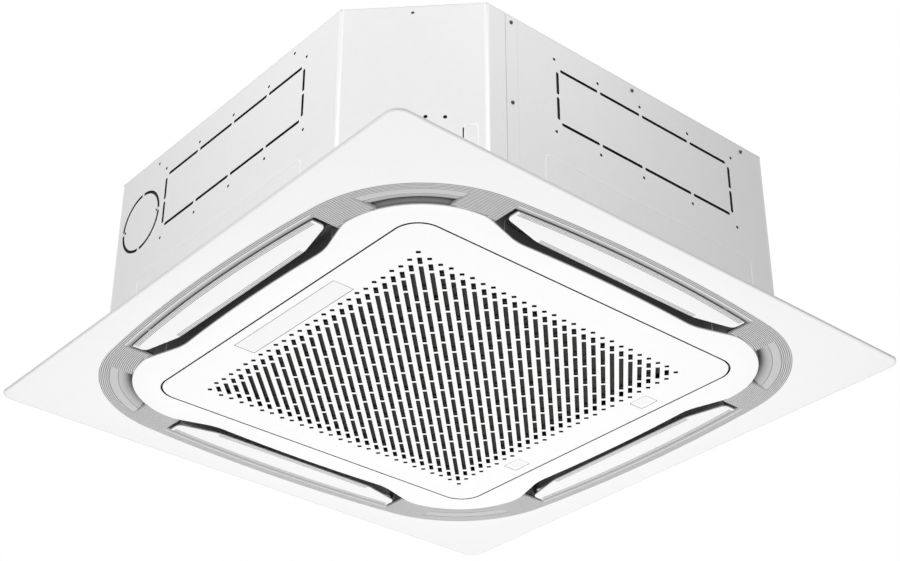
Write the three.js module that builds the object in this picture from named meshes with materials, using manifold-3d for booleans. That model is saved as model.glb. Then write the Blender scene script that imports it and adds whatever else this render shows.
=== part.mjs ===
// Ceiling cassette air conditioner: casing above the ceiling, square panel below it.
// Millimetres, +Z up. The origin is the centre of the panel on the ceiling plane (z = 0).

import * as THREE from 'three';
import { mergeVertices } from 'three/addons/utils/BufferGeometryUtils.js';
import Module from 'manifold-3d';

const wasm = await Module();
wasm.setup();

// ---------- driving dimensions ----------

const GAP = 0.3; // air between two pieces that rest on one another
const ROOT = 0.5; // a wall is sunk this far into the plate that carries it
const PAST = 1; // a cutting tool reaches this far past what it cuts

// decoration panel
const PANEL = 950; // side of the square panel
const PANEL_CORNER_R = 21;
const LIP_T = 3; // thickness of the lip that lies on the ceiling
const PANEL_WALL_T = 2.2;
const SKIRT_TOP = 15; // top of the walls that stand outside the casing
const INNER_WALL_TOP = 12;

// grey outlet ring: four shallow side arcs joined by four corner arcs
const LIP_W = 41.5; // width of the lip at the middle of a side
const RING_APEX = PANEL / 2 - LIP_W; // centre of the panel to the middle of a side arc
const RING_SIDE_R = 2200;
const RING_CORNER_R = 201;
const RING_RECESS = 1.5; // the ring's face lies this far above the lip's face
const RING_T = 3;
const RIB_BAND = 15.5; // ribbed band outside the flaps and the corner covers
const GROOVE_BAND = 4; // smooth groove between the ribbed band and a flap
const DUCT_WALL_T = 2;

// white centre band inside the ring
const CHANNEL_W = 81; // width of the grey channel at the middle of a side
const BAND_APEX = RING_APEX - CHANNEL_W;
const BAND_SIDE_R = 2600;
const BAND_CORNER_R = 135;
const BAND_CORNER_BACK = 119.9; // from the band's apex to the corner arc's centre
const BAND_CORNER_C = BAND_APEX - BAND_CORNER_BACK; // both coordinates of that centre
const BAND_RAMP_TILT = 17.2; // degrees
const BAND_RAMP_FILLET = 16;
const BAND_CORNER_START = 86; // degrees, where the corner arc begins

// air outlets in the ring
const OUTLET_MARGIN = 253; // from the panel's edge to the end of an outlet
const OUTLET_HALF = PANEL / 2 - OUTLET_MARGIN;
const COVER_LEG = 186; // the corner covers start this far from the panel's edges
const COVER_START = PANEL / 2 - COVER_LEG;
const RAMP_BEFORE = 54.5; // the band's ramp starts this far before an outlet's end
const RAMP_BEHIND = 12.4; // and ends this far behind it
const BAND_RAMP_START = OUTLET_HALF - RAMP_BEFORE;
const BAND_RAMP_END = OUTLET_HALF + RAMP_BEHIND;
const SCREW_PLATE_IN = 10; // from a cover's start to the raised plate above it
const WEB_T = 1.8;
const WEB_GAP = 0.4;
const CORNER_WEB_Z = 12.8;

// corner covers
const COVER_T = 2;
const COVER_DEPTH = 10.5; // depth of the hollow at its inner edge
const COVER_SEAM = 0.41; // share of the width where the hollow starts to deepen

// air flaps
const FLAP_END_GAP = 7; // from the flap's end to the end of its outlet
const FLAP_HALF = OUTLET_HALF - FLAP_END_GAP;
const FLAP_GAP = 1.5; // running gap at the flap's outer edge
const FLAP_SLOT_W = 12.5; // between the band and the flap's middle stretch
const FLAP_INNER = BAND_APEX + FLAP_SLOT_W;
const FLAP_TAPER_L = 66; // the inner edge leans outwards over this length at each end
const FLAP_STRAIGHT_HALF = FLAP_HALF - FLAP_TAPER_L;
const FLAP_TAPER = 16;
const FLAP_END_INNER = FLAP_INNER + FLAP_TAPER;
const FLAP_CORNER_R = 8;
const FLAP_T = 2.2;
const FLAP_RECESS = 0.4; // the flap's face lies this far above the lip's face
const FLAP_AXIS_IN = 15; // from the flap's inner edge to its axis
const FLAP_AXIS_Y = FLAP_INNER + FLAP_AXIS_IN;
const FLAP_AXIS_Z = 16;
const FLAP_PIN_R = 2.5;
const FLAP_CHEEK_T = 2.5;
const FLAP_CHEEK_INSET = 1.5;
const FLAP_BOSS_R = 5;
const FLAP_ARM = [-3, 5]; // the arm that carries a pin, measured from the axis
const FLAP_SILL = [1.5, 14]; // the foot of that arm
const FLAP_SILL_H = 4;
const PIN_IN_MOTOR = 4.5;
const PIN_CLEARANCE = 0.5;

// flap motors
const MOTOR_R = 12;
const MOTOR_L = 19;
const MOTOR_BORE = 6;
const MOTOR_ROOM = 1;

// walls at the ends of each outlet
const END_WALL_REACH = [22, 18]; // inwards and outwards from the flap's axis
const END_WALL_TOP = 30;

// intake grille
const BAND_W = 42; // width of the band at the middle of a side
const GRILLE_OPENING = BAND_APEX - BAND_W; // half width of the opening
const GRILLE_SEAM = 1.2;
const GRILLE_CORNER_R = 40;
const GRILLE_T = 2.5;
const OPENING_STEP = 2; // the opening's wall stands back this far above the lip
const SLOT_MARGIN = 72.5;
const SLOT_FIELD_HALF = GRILLE_OPENING - SLOT_MARGIN; // half width of the slotted field
const SLOT_PITCH = 40; // between the diagonal rows of slots
const SLOT_W = 22;
const SLOT_L = 158;
const SLOT_BRIDGE = 14;
const SLOT_SHORTEST = 24;

// bare window plate in the grille
const WINDOW_IN = 35; // from the opening's edge to the middle of the plate
const WINDOW_X = WINDOW_IN - GRILLE_OPENING;
const WINDOW_W = 35;
const WINDOW_L = 234;
const WINDOW_T = 1.1;
const WINDOW_POCKET = 1.4;

// grille hinge along the -X edge: its two hangers slide down as the grille swings open
const HINGE_IN = 5;
const HINGE_X = HINGE_IN - GRILLE_OPENING;
const HINGE_Z = 0.8;
const HINGE_Y = 150; // half distance between the two hangers
const HINGE_DROP = 10;
const HINGE_PIN_R = 1.3;
const HINGE_PIN_CLEARANCE = 0.3;
const HINGE_EYE_WALL = 1.1;
const HINGE_EYE_W = 4;
const HINGE_SKIN = 0.9; // what is left of the grille under the pin
const HANGER_T = 2.6;
const HANGER_W = 7;
const HANGER_CLEARANCE = 0.35;
const HANGER_HEAD_T = 1.6;
const HANGER_HEAD_LAP = 1.5;
const SHELF_Z = 9.6;
const SHELF_REACH = 6; // from the hinge axis inwards

// latches along the +X edge
const LATCH_IN = 32.5;
const LATCH_X = GRILLE_OPENING - LATCH_IN;
const LATCH_Y = 142.5;
const BUTTON_W = 26;
const BUTTON_L = 34;
const BUTTON_T = 2.2;
const BUTTON_CLEARANCE = 0.3;
const STEM_TOP = 5.2;
const STEM_HALF_W = 5;
const STEM_AT = [2, 5]; // from the button's end
const TONGUE_Z = 6.4;
const TONGUE_T = 2.8;
const TONGUE_HALF_W = 6;
const TONGUE_TAIL_HALF_W = 11;
const TONGUE_BITE = 4.5; // how far a tongue reaches past the opening's edge
const TONGUE_TIP = GRILLE_OPENING + TONGUE_BITE;
const TONGUE_TAIL_IN = 6;
const TONGUE_TAIL_X = LATCH_X + TONGUE_TAIL_IN;
const TONGUE_TAIL_W = 4;
const TONGUE_SLOT_CLEARANCE = 0.6;
const LATCH_WALL = 2;
const LATCH_BACK = 16.5;
const LATCH_BACK_X = LATCH_X - LATCH_BACK;
const SPRING_R = 1.3;

// air filter
const FILTER_HINGE_GAP = 26.5;
const FILTER_LATCH_GAP = 7.5;
const FILTER_SIDE_GAP = 36.5;
const FILTER_X0 = FILTER_HINGE_GAP - GRILLE_OPENING;
const FILTER_X1 = LATCH_BACK_X - FILTER_LATCH_GAP;
const FILTER_HALF_Y = GRILLE_OPENING - FILTER_SIDE_GAP;
const FILTER_SEAT_W = 3;
const FILTER_SEAT_IN = 8;
const FILTER_FRAME_W = 10;
const FILTER_T = 5;
const FILTER_BARS = 3;
const FILTER_BAR_W = 4;
const FILTER_SEAT_Z = 3.4;
const MESH_T = 0.8;
const MESH_UP = 1;

// casing
const CASE_MARGIN = 61.8; // the panel stands this far past the casing
const CASE_HALF = PANEL / 2 - CASE_MARGIN;
const CASE_LEG = 139; // leg of each cut corner
const CASE_FLAT = CASE_HALF - CASE_LEG; // half length of a flat side
const CASE_BOTTOM = 16;
const CASE_TOP = 304;
const SHEET_T = 1.2;
const FLANGE_W = 11;
const CORNER_FLANGE_W = 19;
const TOP_PLATE_T = 1.2;
const TOP_RIM_T = 1.2;
const TOP_RIM_H = 14;
const SEAM_IN = 33.2;
const SEAM_AT = CASE_FLAT - SEAM_IN; // the outer sheet ends here on the two seamed sides
const SEAM_LAP = 21;
const SEAM_JOGGLE = [2, 8]; // the step of the inner sheet, measured from its end

// knock-outs, each held by small bridges
const SLIT = 4;
const BRIDGE = 5;
const SLIT_TOOL_DEPTH = 30;
const KNOCKOUT_DROP = 49; // from the casing's top to the upper slits
const KNOCKOUT_HIGH = CASE_TOP - KNOCKOUT_DROP;
const KNOCKOUT_H = 90;
const KNOCKOUT_LOW = KNOCKOUT_HIGH - KNOCKOUT_H;
const WIDE_MARGINS = [127.2, 77.2]; // from the ends of the flat side
const WIDE_KNOCKOUT = [WIDE_MARGINS[0] - CASE_FLAT, CASE_FLAT - WIDE_MARGINS[1]];
const WIDE_BRIDGES = [0.23, 0.471, 0.756]; // shares of the knock-out's length
const SIDE_MARGINS = [79.2, 128.2];
const SIDE_KNOCKOUT = [SIDE_MARGINS[0] - CASE_FLAT, CASE_FLAT - SIDE_MARGINS[1]];
const SIDE_BRIDGES = [0.25, 0.5, 0.75];
const ROUND_IN = 64.2;
const ROUND_DROP = 100;
const ROUND_KNOCKOUT_Y = CASE_FLAT - ROUND_IN;
const ROUND_KNOCKOUT_Z = CASE_TOP - ROUND_DROP;
const ROUND_KNOCKOUT_R = 48;

// drain pan
const PAN_BOTTOM = 36;
const PAN_FLOOR_T = 12;
const PAN_TROUGH_TOP = 78;
const PAN_WALL_T = 7;
const PAN_RIM_T = 5.5;
const PAN_SLIDE = 0.5; // gap between the pan and the sheets
const PAN_OUTLET_HALF = FLAP_HALF;
const PAN_OUTLET_BACK = 7.5;
const PAN_OUTLET_INNER = BAND_APEX - PAN_OUTLET_BACK;
const PAN_OUTLET_MARGIN = 14.2;
const PAN_OUTLET_OUTER = CASE_HALF - PAN_OUTLET_MARGIN;
const WELL_LOWER = 6; // the inner rim stands this much lower than the trough
const TROUGH_GAP = 4;
const TROUGH_CUT_IN = 25;
const TROUGH_GROWTH = 6; // the trough's corners are rounder than the coil's

// heat exchanger
const COIL_DUCT = 88.2; // between the casing and the coil
const COIL_HALF = CASE_HALF - COIL_DUCT;
const COIL_DEPTH = 38;
const COIL_INNER = COIL_HALF - COIL_DEPTH;
const COIL_CORNER_R = 70;
const COIL_SERVICE = 120; // length of each side that is left open at the pipes
const COIL_OPEN_FROM = COIL_HALF - COIL_SERVICE;

// bell mouth, fan and motor, all turned about Z
const FAN_TO_COIL = 57;
const FAN_R = COIL_INNER - FAN_TO_COIL;
const FAN_MOUTH = 26; // the inlet is this much smaller than the fan's radius
const FAN_INLET_R = FAN_R - FAN_MOUTH;
const BELL_CLEARANCE = 6;
const BELL_THROAT_R = FAN_INLET_R - BELL_CLEARANCE;
const WELL_CLEARANCE = 16;
const BELL_HOLE_R = FAN_R + WELL_CLEARANCE;
const BELL_LAP = 14;
const BELL_FLANGE_R = BELL_HOLE_R + BELL_LAP;
const BELL_TOP = 80;
const BELL_OVERLAP = 10; // the bell mouth reaches this far into the fan's inlet
const BELL_T = 2;
const FAN_BOTTOM = BELL_TOP - BELL_OVERLAP;
const SHROUD_H = 42;
const FAN_SHROUD_TOP = FAN_BOTTOM + SHROUD_H;
const MOTOR_HANG = 20; // from the casing's top to the motor's flange
const FAN_MOTOR_TOP = CASE_TOP - MOTOR_HANG;
const FAN_MOTOR_H = 72;
const FAN_MOTOR_BOTTOM = FAN_MOTOR_TOP - FAN_MOTOR_H;
const FAN_TO_MOTOR = 8;
const FAN_BACK_Z = FAN_MOTOR_BOTTOM - FAN_TO_MOTOR;
const FAN_T = 2.5;
const FAN_HUB_R = 88;
const FAN_HUB_FLOOR_R = 58;
const FAN_HUB_DEPTH = 54;
const FAN_HUB_FLOOR_Z = FAN_BACK_Z - FAN_HUB_DEPTH;
const FAN_BORE_R = 6.3;
const BLADES = 7;
const BLADE_REACH = 82; // a blade's extent towards the centre
const BLADE_INNER_R = FAN_R - BLADE_REACH;
const BLADE_T = 3;
const BLADE_SWEEP = 38; // degrees between a blade's inner and outer ends
const BLADE_RISE = 8; // the blades start this far above the bell mouth
const SHAFT_R = 6;
const SHAFT_END = 16; // the shaft stands this far below the hub's floor
const SHAFT_BOTTOM = FAN_HUB_FLOOR_Z - SHAFT_END;
const NUT_R = 10;
const NUT_H = 8;
const FAN_MOTOR_R = 66;
const FAN_MOTOR_FLANGE_R = 84;
const FAN_MOTOR_FLANGE_T = 3;
const SHAFT_INSERT = 24;
const FOOT_R = 9;
const FOOT_CIRCLE = 75;
const FEET = 3;

// foam and closing plate
const CLOSING_PLATE_T = 1.5;
const SIDE_FOAM_T = 8;
const SIDE_FOAM_BOTTOM = 60;
const TOP_FOAM_T = 6;
const TOP_FOAM_HOLE_R = 112;

// pipes through the cut corner at +X +Y
const PIPE_DROP = 76; // from the casing's top
const PIPE_Z = CASE_TOP - PIPE_DROP;
const PIPE_SPREAD = 44;
const GAS_PIPE_R = 8;
const LIQUID_PIPE_R = 4.8;
const PIPE_INSIDE = 60;
const PIPE_OUTSIDE = 42;
const NUT_GROWTH = 1.7; // a flare nut's corners measured in pipe radii
const FLARE_NUT_L = 20;
const PIPE_PLATE_W = 112;
const PIPE_PLATE_H = 78;
const PIPE_PLATE_T = 1.2;
const PIPE_WINDOW_W = 88;
const PIPE_WINDOW_H = 54;
const PIPE_HOLE_CLEARANCE = 1;

// drain pump and float switch in the same corner
const PUMP_IN = [163.2, 68.2]; // from the casing's +X and +Y sides
const PUMP = PUMP_IN.map((inset) => CASE_HALF - inset);
const PUMP_R = 26;
const PUMP_BOTTOM = 112;
const PUMP_TOP = 168;
const PUMP_FOOT_R = 15;
const PUMP_FOOT_T = 2;
const PUMP_FOOT_BOTTOM = 50;
const IMPELLER_R = 11;
const IMPELLER_H = 9;
const IMPELLER_SHAFT_R = 2;
const PUMP_BRACKET_T = 2;
const PUMP_BRACKET_W = 36;
const PUMP_SPOUT_L = 8;
const PUMP_SPOUT_UP = 22;
const FLOAT_IN = [83.2, 151.2];
const FLOAT = FLOAT_IN.map((inset) => CASE_HALF - inset);
const FLOAT_STEM_R = 4;
const FLOAT_R = 12;
const FLOAT_H = 14;
const FLOAT_TRAVEL = 12;
const FLOAT_STOP_R = 7;
const FLOAT_BOTTOM = 49;
const DRAIN_DROP = 90;
const DRAIN_Z = CASE_TOP - DRAIN_DROP;
const DRAIN_IN = 31.2;
const DRAIN_Y = CASE_FLAT - DRAIN_IN;
const DRAIN_INSIDE = 24;
const DRAIN_R = 16;
const DRAIN_BORE_R = 13;
const DRAIN_OUT = 40;
const DRAIN_COLLAR_T = 3.7;
const DRAIN_COLLAR_W = 6;
const DRAIN_PIPE_R = 9;
const DRAIN_BEND = [50, 30]; // the hose's middle, measured from its start

// control box beside the bell mouth
const BOX_HALF_X = 120;
const BOX_TO_BELL = 7;
const BOX_W = 37;
const BOX_START = BELL_FLANGE_R + BOX_TO_BELL;
const BOX_Y = [BOX_START, BOX_START + BOX_W];
const BOX_LOW = 13.7;
const BOX_T = 1.6;
const BOX_COVER_T = 1.4;
const BOARD_T = 1.6;
const BOARD_DROP = 7;
const BOARD_MARGIN = 4;
const BOARD_PARTS = [
  [14, 20, 15, 8], // start, length, width and height of the relay
  [60, 24, 18, 9], // the same of the choke
];
const PART_MARGIN = 9;
const POST_IN = 12;
const POST_W = 6;
const POST_MARGIN = 6;
const TERMINAL_L = 34;
const TERMINAL_H = 12;

// screws that hold the panel to the casing
const SCREW_IN = 77.2;
const SCREW_AT = CASE_HALF - SCREW_IN; // both coordinates of a screw
const SCREW_R = 2.5;
const SCREW_HEAD_R = 6;
const SCREW_HEAD_H = 2.8;
const SCREW_TOP = 26;
const SCREW_HOLE_R = 3;

// facets around a full turn
const FINE_SIDES = 24;
const MEDIUM_SIDES = 16;
const SMALL_SIDES = 10;

// ---------- solids ----------

function solid(geometry) {
  let bare = geometry.index ? geometry.toNonIndexed() : geometry.clone();
  bare.deleteAttribute('normal');
  bare.deleteAttribute('uv');
  bare = mergeVertices(bare, 1e-4);
  const vertProperties = new Float32Array(bare.attributes.position.array);
  const triVerts = new Uint32Array(bare.index.array);
  return new wasm.Manifold(new wasm.Mesh({ numProp: 3, vertProperties, triVerts }));
}

function toGeometry(body) {
  const mesh = body.getMesh();
  const geometry = new THREE.BufferGeometry();
  geometry.setAttribute('position', new THREE.BufferAttribute(mesh.vertProperties, 3));
  geometry.setIndex(new THREE.BufferAttribute(mesh.triVerts, 1));
  geometry.computeVertexNormals();
  return geometry;
}

function slab(outline, low, high) {
  const geometry = new THREE.ExtrudeGeometry(new THREE.Shape(outline), {
    depth: high - low,
    bevelEnabled: false,
  });
  geometry.translate(0, 0, low);
  return solid(geometry);
}

function wall(outer, inner, low, high) {
  const shape = new THREE.Shape(outer);
  shape.holes.push(new THREE.Path(inner));
  const geometry = new THREE.ExtrudeGeometry(shape, { depth: high - low, bevelEnabled: false });
  geometry.translate(0, 0, low);
  return solid(geometry);
}

function block(x0, x1, y0, y1, z0, z1) {
  const geometry = new THREE.BoxGeometry(x1 - x0, y1 - y0, z1 - z0);
  geometry.translate((x0 + x1) / 2, (y0 + y1) / 2, (z0 + z1) / 2);
  return solid(geometry);
}

function rod(start, end, radius, sides = SMALL_SIDES) {
  const from = new THREE.Vector3(...start);
  const along = new THREE.Vector3(...end).sub(from);
  const geometry = new THREE.CylinderGeometry(radius, radius, along.length(), sides);
  geometry.translate(0, along.length() / 2, 0);
  const up = new THREE.Vector3(0, 1, 0);
  geometry.applyQuaternion(new THREE.Quaternion().setFromUnitVectors(up, along.clone().normalize()));
  geometry.translate(from.x, from.y, from.z);
  return solid(geometry);
}

// a profile of [radius, z] points turned about Z
function turned(profile, sides = FINE_SIDES, x = 0, y = 0) {
  const points = profile.map(([radius, z]) => new THREE.Vector2(radius, z));
  if (THREE.ShapeUtils.area(points) < 0) {
    points.reverse();
  }
  const geometry = new THREE.LatheGeometry(points, sides);
  geometry.rotateX(Math.PI / 2);
  return solid(geometry.translate(x, y, 0));
}

function closedProfile(points) {
  return [...points, points[0]];
}

function tube(points, radius, sides = SMALL_SIDES, steps = 12) {
  const path = new THREE.CatmullRomCurve3(points.map((p) => new THREE.Vector3(...p)), false, 'centripetal');
  const section = new THREE.Shape();
  section.absarc(0, 0, radius, 0, 2 * Math.PI);
  const outline = section.getPoints(Math.round(sides / 2)).slice(0, -1);
  return solid(new THREE.ExtrudeGeometry(new THREE.Shape(outline), { extrudePath: path, steps }));
}

function union(bodies) {
  return bodies.reduce((sum, body) => sum.add(body));
}

function cut(body, tools) {
  return tools.reduce((rest, tool) => rest.subtract(tool), body);
}

function turnedBy(body, quarters) {
  return body.rotate([0, 0, 90 * quarters]);
}

const QUARTERS = [0, 1, 2, 3];

// ---------- outlines ----------

function point(x, y) {
  return new THREE.Vector2(x, y);
}

function arc(cx, cy, radius, from, to, steps) {
  const points = [];
  for (let i = 0; i <= steps; i += 1) {
    const angle = THREE.MathUtils.degToRad(from + ((to - from) * i) / steps);
    points.push(point(cx + radius * Math.cos(angle), cy + radius * Math.sin(angle)));
  }
  return points;
}

function withoutDoubles(points) {
  return points.filter((p, i) => p.distanceTo(points[(i + 1) % points.length]) > 0.02);
}

// half of one side, from its middle (0, a) to the diagonal, repeated eight times
function eightfold(half) {
  const mirrored = half.map((p) => point(p.y, p.x)).reverse();
  const quarter = [...half, ...mirrored];
  const around = [];
  for (const turn of QUARTERS) {
    const angle = (-Math.PI / 2) * turn;
    for (const p of quarter) {
      around.push(p.clone().rotateAround(point(0, 0), angle));
    }
  }
  return withoutDoubles(around.reverse());
}

function roundedSquare(half, radius, steps = 3) {
  const corner = arc(half - radius, half - radius, radius, 90, 45, steps);
  return eightfold([point(0, half), ...corner]);
}

function roundedRectangle(x0, x1, y0, y1, radius, steps = 2) {
  return [
    ...arc(x1 - radius, y1 - radius, radius, 0, 90, steps),
    ...arc(x0 + radius, y1 - radius, radius, 90, 180, steps),
    ...arc(x0 + radius, y0 + radius, radius, 180, 270, steps),
    ...arc(x1 - radius, y0 + radius, radius, 270, 360, steps),
  ];
}

function circle(radius, sides, cx = 0, cy = 0) {
  return withoutDoubles(arc(cx, cy, radius, 0, 360, sides));
}

// an octagon given by its half width and the leg of its cut corners
function octagon(inset, halfWidth = CASE_HALF, leg = CASE_LEG) {
  const half = halfWidth - inset;
  const flat = half - (leg - inset * (2 - Math.SQRT2));
  return eightfold([point(0, half), point(flat, half)]);
}

const RING_SIDE_CENTRE = RING_APEX - RING_SIDE_R;
const RING_SPAN = RING_SIDE_R - RING_CORNER_R;
const RING_CORNER_C =
  (RING_SIDE_CENTRE + Math.sqrt(2 * RING_SPAN ** 2 - RING_SIDE_CENTRE ** 2)) / 2;
const RING_JOIN = THREE.MathUtils.radToDeg(Math.atan2(RING_CORNER_C, RING_CORNER_C - RING_SIDE_CENTRE));

function ringOutline(inset) {
  const side = arc(0, RING_SIDE_CENTRE, RING_SIDE_R - inset, 90, 90 - RING_JOIN, 3);
  const corner = arc(RING_CORNER_C, RING_CORNER_C, RING_CORNER_R - inset, 90 - RING_JOIN, 45, 4);
  return eightfold([...side, ...corner]);
}

function ringEdgeAt(x, inset) {
  const radius = RING_SIDE_R - inset;
  return RING_SIDE_CENTRE + Math.sqrt(radius ** 2 - x ** 2);
}

function bandEdgeAt(x) {
  return BAND_APEX - BAND_SIDE_R + Math.sqrt(BAND_SIDE_R ** 2 - x ** 2);
}

function curveBetween(from, bend, to, steps) {
  return new THREE.QuadraticBezierCurve(from, bend, to).getPoints(steps);
}

function towards(from, to, distance) {
  return from.clone().add(to.clone().sub(from).setLength(distance));
}

function bandHalf() {
  const rampFoot = point(BAND_RAMP_START, bandEdgeAt(BAND_RAMP_START));
  const rise = (BAND_RAMP_END - BAND_RAMP_START) * Math.tan(THREE.MathUtils.degToRad(BAND_RAMP_TILT));
  const rampHead = point(BAND_RAMP_END, rampFoot.y + rise);
  const corner = arc(BAND_CORNER_C, BAND_CORNER_C, BAND_CORNER_R, BAND_CORNER_START, 45, 3);
  const sideEnd = BAND_RAMP_START - BAND_RAMP_FILLET;
  const side = [0, 0.5, 1].map((share) => point(sideEnd * share, bandEdgeAt(sideEnd * share)));
  const foot = curveBetween(side[2], rampFoot, towards(rampFoot, rampHead, BAND_RAMP_FILLET), 2);
  const head = curveBetween(towards(rampHead, rampFoot, BAND_RAMP_FILLET), rampHead, corner[0], 2);
  return [...side, ...foot, ...head, ...corner];
}

// every point moves square to the outline, outwards for a positive distance
function grown(outline, distance) {
  return outline.map((p, i) => {
    const before = outline[(i + outline.length - 1) % outline.length];
    const after = outline[(i + 1) % outline.length];
    const along = after.clone().sub(before).normalize();
    return point(p.x + along.y * distance, p.y - along.x * distance);
  });
}

function bandOutline(growth) {
  return grown(eightfold(bandHalf()), growth);
}

// the flap on the +Y side
function flapOutline() {
  const inset = RIB_BAND + GROOVE_BAND + FLAP_GAP;
  const steps = 6;
  const outer = [];
  for (let i = 0; i <= steps; i += 1) {
    const x = FLAP_HALF * (1 - (2 * i) / steps);
    outer.push(point(x, ringEdgeAt(x, inset)));
  }
  const end = point(FLAP_HALF, FLAP_END_INNER);
  const bend = point(FLAP_STRAIGHT_HALF, FLAP_INNER);
  const up = point(FLAP_HALF, FLAP_END_INNER + FLAP_CORNER_R);
  const corner = curveBetween(towards(end, bend, FLAP_CORNER_R), end, up, 2);
  const right = [bend, ...corner];
  const left = right.map((p) => point(-p.x, p.y)).reverse();
  return [...outer, ...left, ...right];
}

// ---------- levels worked out from the sizes ----------

const FACE = -LIP_T;
const RING_FACE = FACE + RING_RECESS;
const RING_TOP = RING_FACE + RING_T;
const WEB_BOTTOM = RING_TOP + WEB_GAP;
const WEB_TOP = WEB_BOTTOM + WEB_T;
const FLAP_FACE = FACE + FLAP_RECESS;
const FLAP_TOP = FLAP_FACE + FLAP_T;
const GRILLE_TOP = FACE + GRILLE_T;
const GRILLE_HALF = GRILLE_OPENING - GRILLE_SEAM;
const PAN_FLOOR = PAN_BOTTOM + PAN_FLOOR_T;
const SHEET_TOP = CASE_TOP - TOP_PLATE_T - GAP;
const TOP_FOAM_TOP = CASE_TOP - TOP_PLATE_T - GAP;
const TOP_FOAM_BOTTOM = TOP_FOAM_TOP - TOP_FOAM_T;
const OUTLET_EDGE = RIB_BAND + GROOVE_BAND;

// ---------- panel ----------

function cornerRegion(from) {
  const far = PANEL;
  return QUARTERS.map((turn) => turnedBy(block(from, far, from, far, -far, far), turn));
}

function outletRegion(half, low, high) {
  return QUARTERS.map((turn) => turnedBy(block(-half, half, 0, PANEL, low, high), turn));
}

function endWalls() {
  const outer = OUTLET_HALF + PANEL_WALL_T;
  const z = [WEB_BOTTOM, END_WALL_TOP];
  const walls = [];
  for (const side of [-1, 1]) {
    const x = [side * OUTLET_HALF, side * outer].sort((a, b) => a - b);
    const pinHole = rod(
      [x[0] - PAST, FLAP_AXIS_Y, FLAP_AXIS_Z],
      [x[1] + PAST, FLAP_AXIS_Y, FLAP_AXIS_Z],
      FLAP_PIN_R + PIN_CLEARANCE,
    );
    const y = [FLAP_AXIS_Y - END_WALL_REACH[0], FLAP_AXIS_Y + END_WALL_REACH[1]];
    walls.push(block(...x, ...y, ...z).subtract(pinHole));
  }
  return union(walls);
}

// the shelf behind the opening's wall that guides one hanger
function hingeShelf(y) {
  const halfX = HANGER_T / 2 + HANGER_CLEARANCE;
  const halfY = HANGER_W / 2 + HANGER_CLEARANCE;
  const outer = -GRILLE_OPENING - OPENING_STEP - PANEL_WALL_T / 2;
  const inner = HINGE_X + SHELF_REACH;
  const reach = halfY + PANEL_WALL_T;
  const shelf = block(outer, inner, y - reach, y + reach, SHELF_Z, INNER_WALL_TOP);
  const z = [SHELF_Z - PAST, INNER_WALL_TOP + PAST];
  return shelf.subtract(block(HINGE_X - halfX, HINGE_X + halfX, y - halfY, y + halfY, ...z));
}

function tongueWindow(y) {
  const half = TONGUE_HALF_W + TONGUE_SLOT_CLEARANCE;
  const z = [TONGUE_Z - TONGUE_SLOT_CLEARANCE, TONGUE_Z + TONGUE_T + TONGUE_SLOT_CLEARANCE];
  return block(GRILLE_OPENING - PAST, TONGUE_TIP + PAST, y - half, y + half, ...z);
}

function flapMotorPocket() {
  const x = OUTLET_HALF + PANEL_WALL_T;
  const half = MOTOR_R + MOTOR_ROOM;
  const z = [Math.max(FLAP_AXIS_Z - half, WEB_TOP - ROOT), FLAP_AXIS_Z + half];
  return block(x, x + MOTOR_L + 2 * MOTOR_ROOM, FLAP_AXIS_Y - half, FLAP_AXIS_Y + half, ...z);
}

function panelFrame() {
  const ring = ringOutline(0);
  const lip = wall(roundedSquare(PANEL / 2, PANEL_CORNER_R), ring, FACE, 0);
  const skirt = wall(ringOutline(-PANEL_WALL_T), ring, FACE, SKIRT_TOP);
  const opening = roundedSquare(GRILLE_OPENING, GRILLE_CORNER_R);
  const band = bandOutline(0);
  const bandFace = wall(band, opening, FACE, 0);
  const bandWall = wall(band, bandOutline(-PANEL_WALL_T), FACE, SKIRT_TOP);
  const step = GRILLE_OPENING + OPENING_STEP;
  const openingWall = wall(
    roundedSquare(step + PANEL_WALL_T, GRILLE_CORNER_R + OPENING_STEP + PANEL_WALL_T),
    roundedSquare(step, GRILLE_CORNER_R + OPENING_STEP),
    -GAP,
    INNER_WALL_TOP,
  );
  const channel = [ringOutline(-PANEL_WALL_T / 2), bandOutline(-PANEL_WALL_T / 2)];
  const lowWeb = cut(wall(...channel, WEB_BOTTOM, WEB_TOP), [
    ...outletRegion(OUTLET_HALF, WEB_BOTTOM - PAST, WEB_TOP + PAST),
    ...cornerRegion(COVER_START - PAST),
  ]);
  const cornerPlates = union(cornerRegion(COVER_START + SCREW_PLATE_IN)).intersect(
    wall(...channel, CORNER_WEB_Z, SKIRT_TOP),
  );
  const walls = QUARTERS.map((turn) => turnedBy(endWalls(), turn));
  const shelves = [-HINGE_Y, HINGE_Y].map(hingeShelf);
  const faces = [lip, skirt, bandFace, bandWall, openingWall];
  const body = union([...faces, lowWeb, cornerPlates, ...walls, ...shelves]);
  const screwHoles = QUARTERS.map((turn) =>
    turnedBy(rod([SCREW_AT, SCREW_AT, 0], [SCREW_AT, SCREW_AT, SCREW_TOP], SCREW_HOLE_R), turn),
  );
  const pockets = QUARTERS.map((turn) => turnedBy(flapMotorPocket(), turn));
  return cut(body, [...screwHoles, ...pockets, ...[-LATCH_Y, LATCH_Y].map(tongueWindow)]);
}

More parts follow.
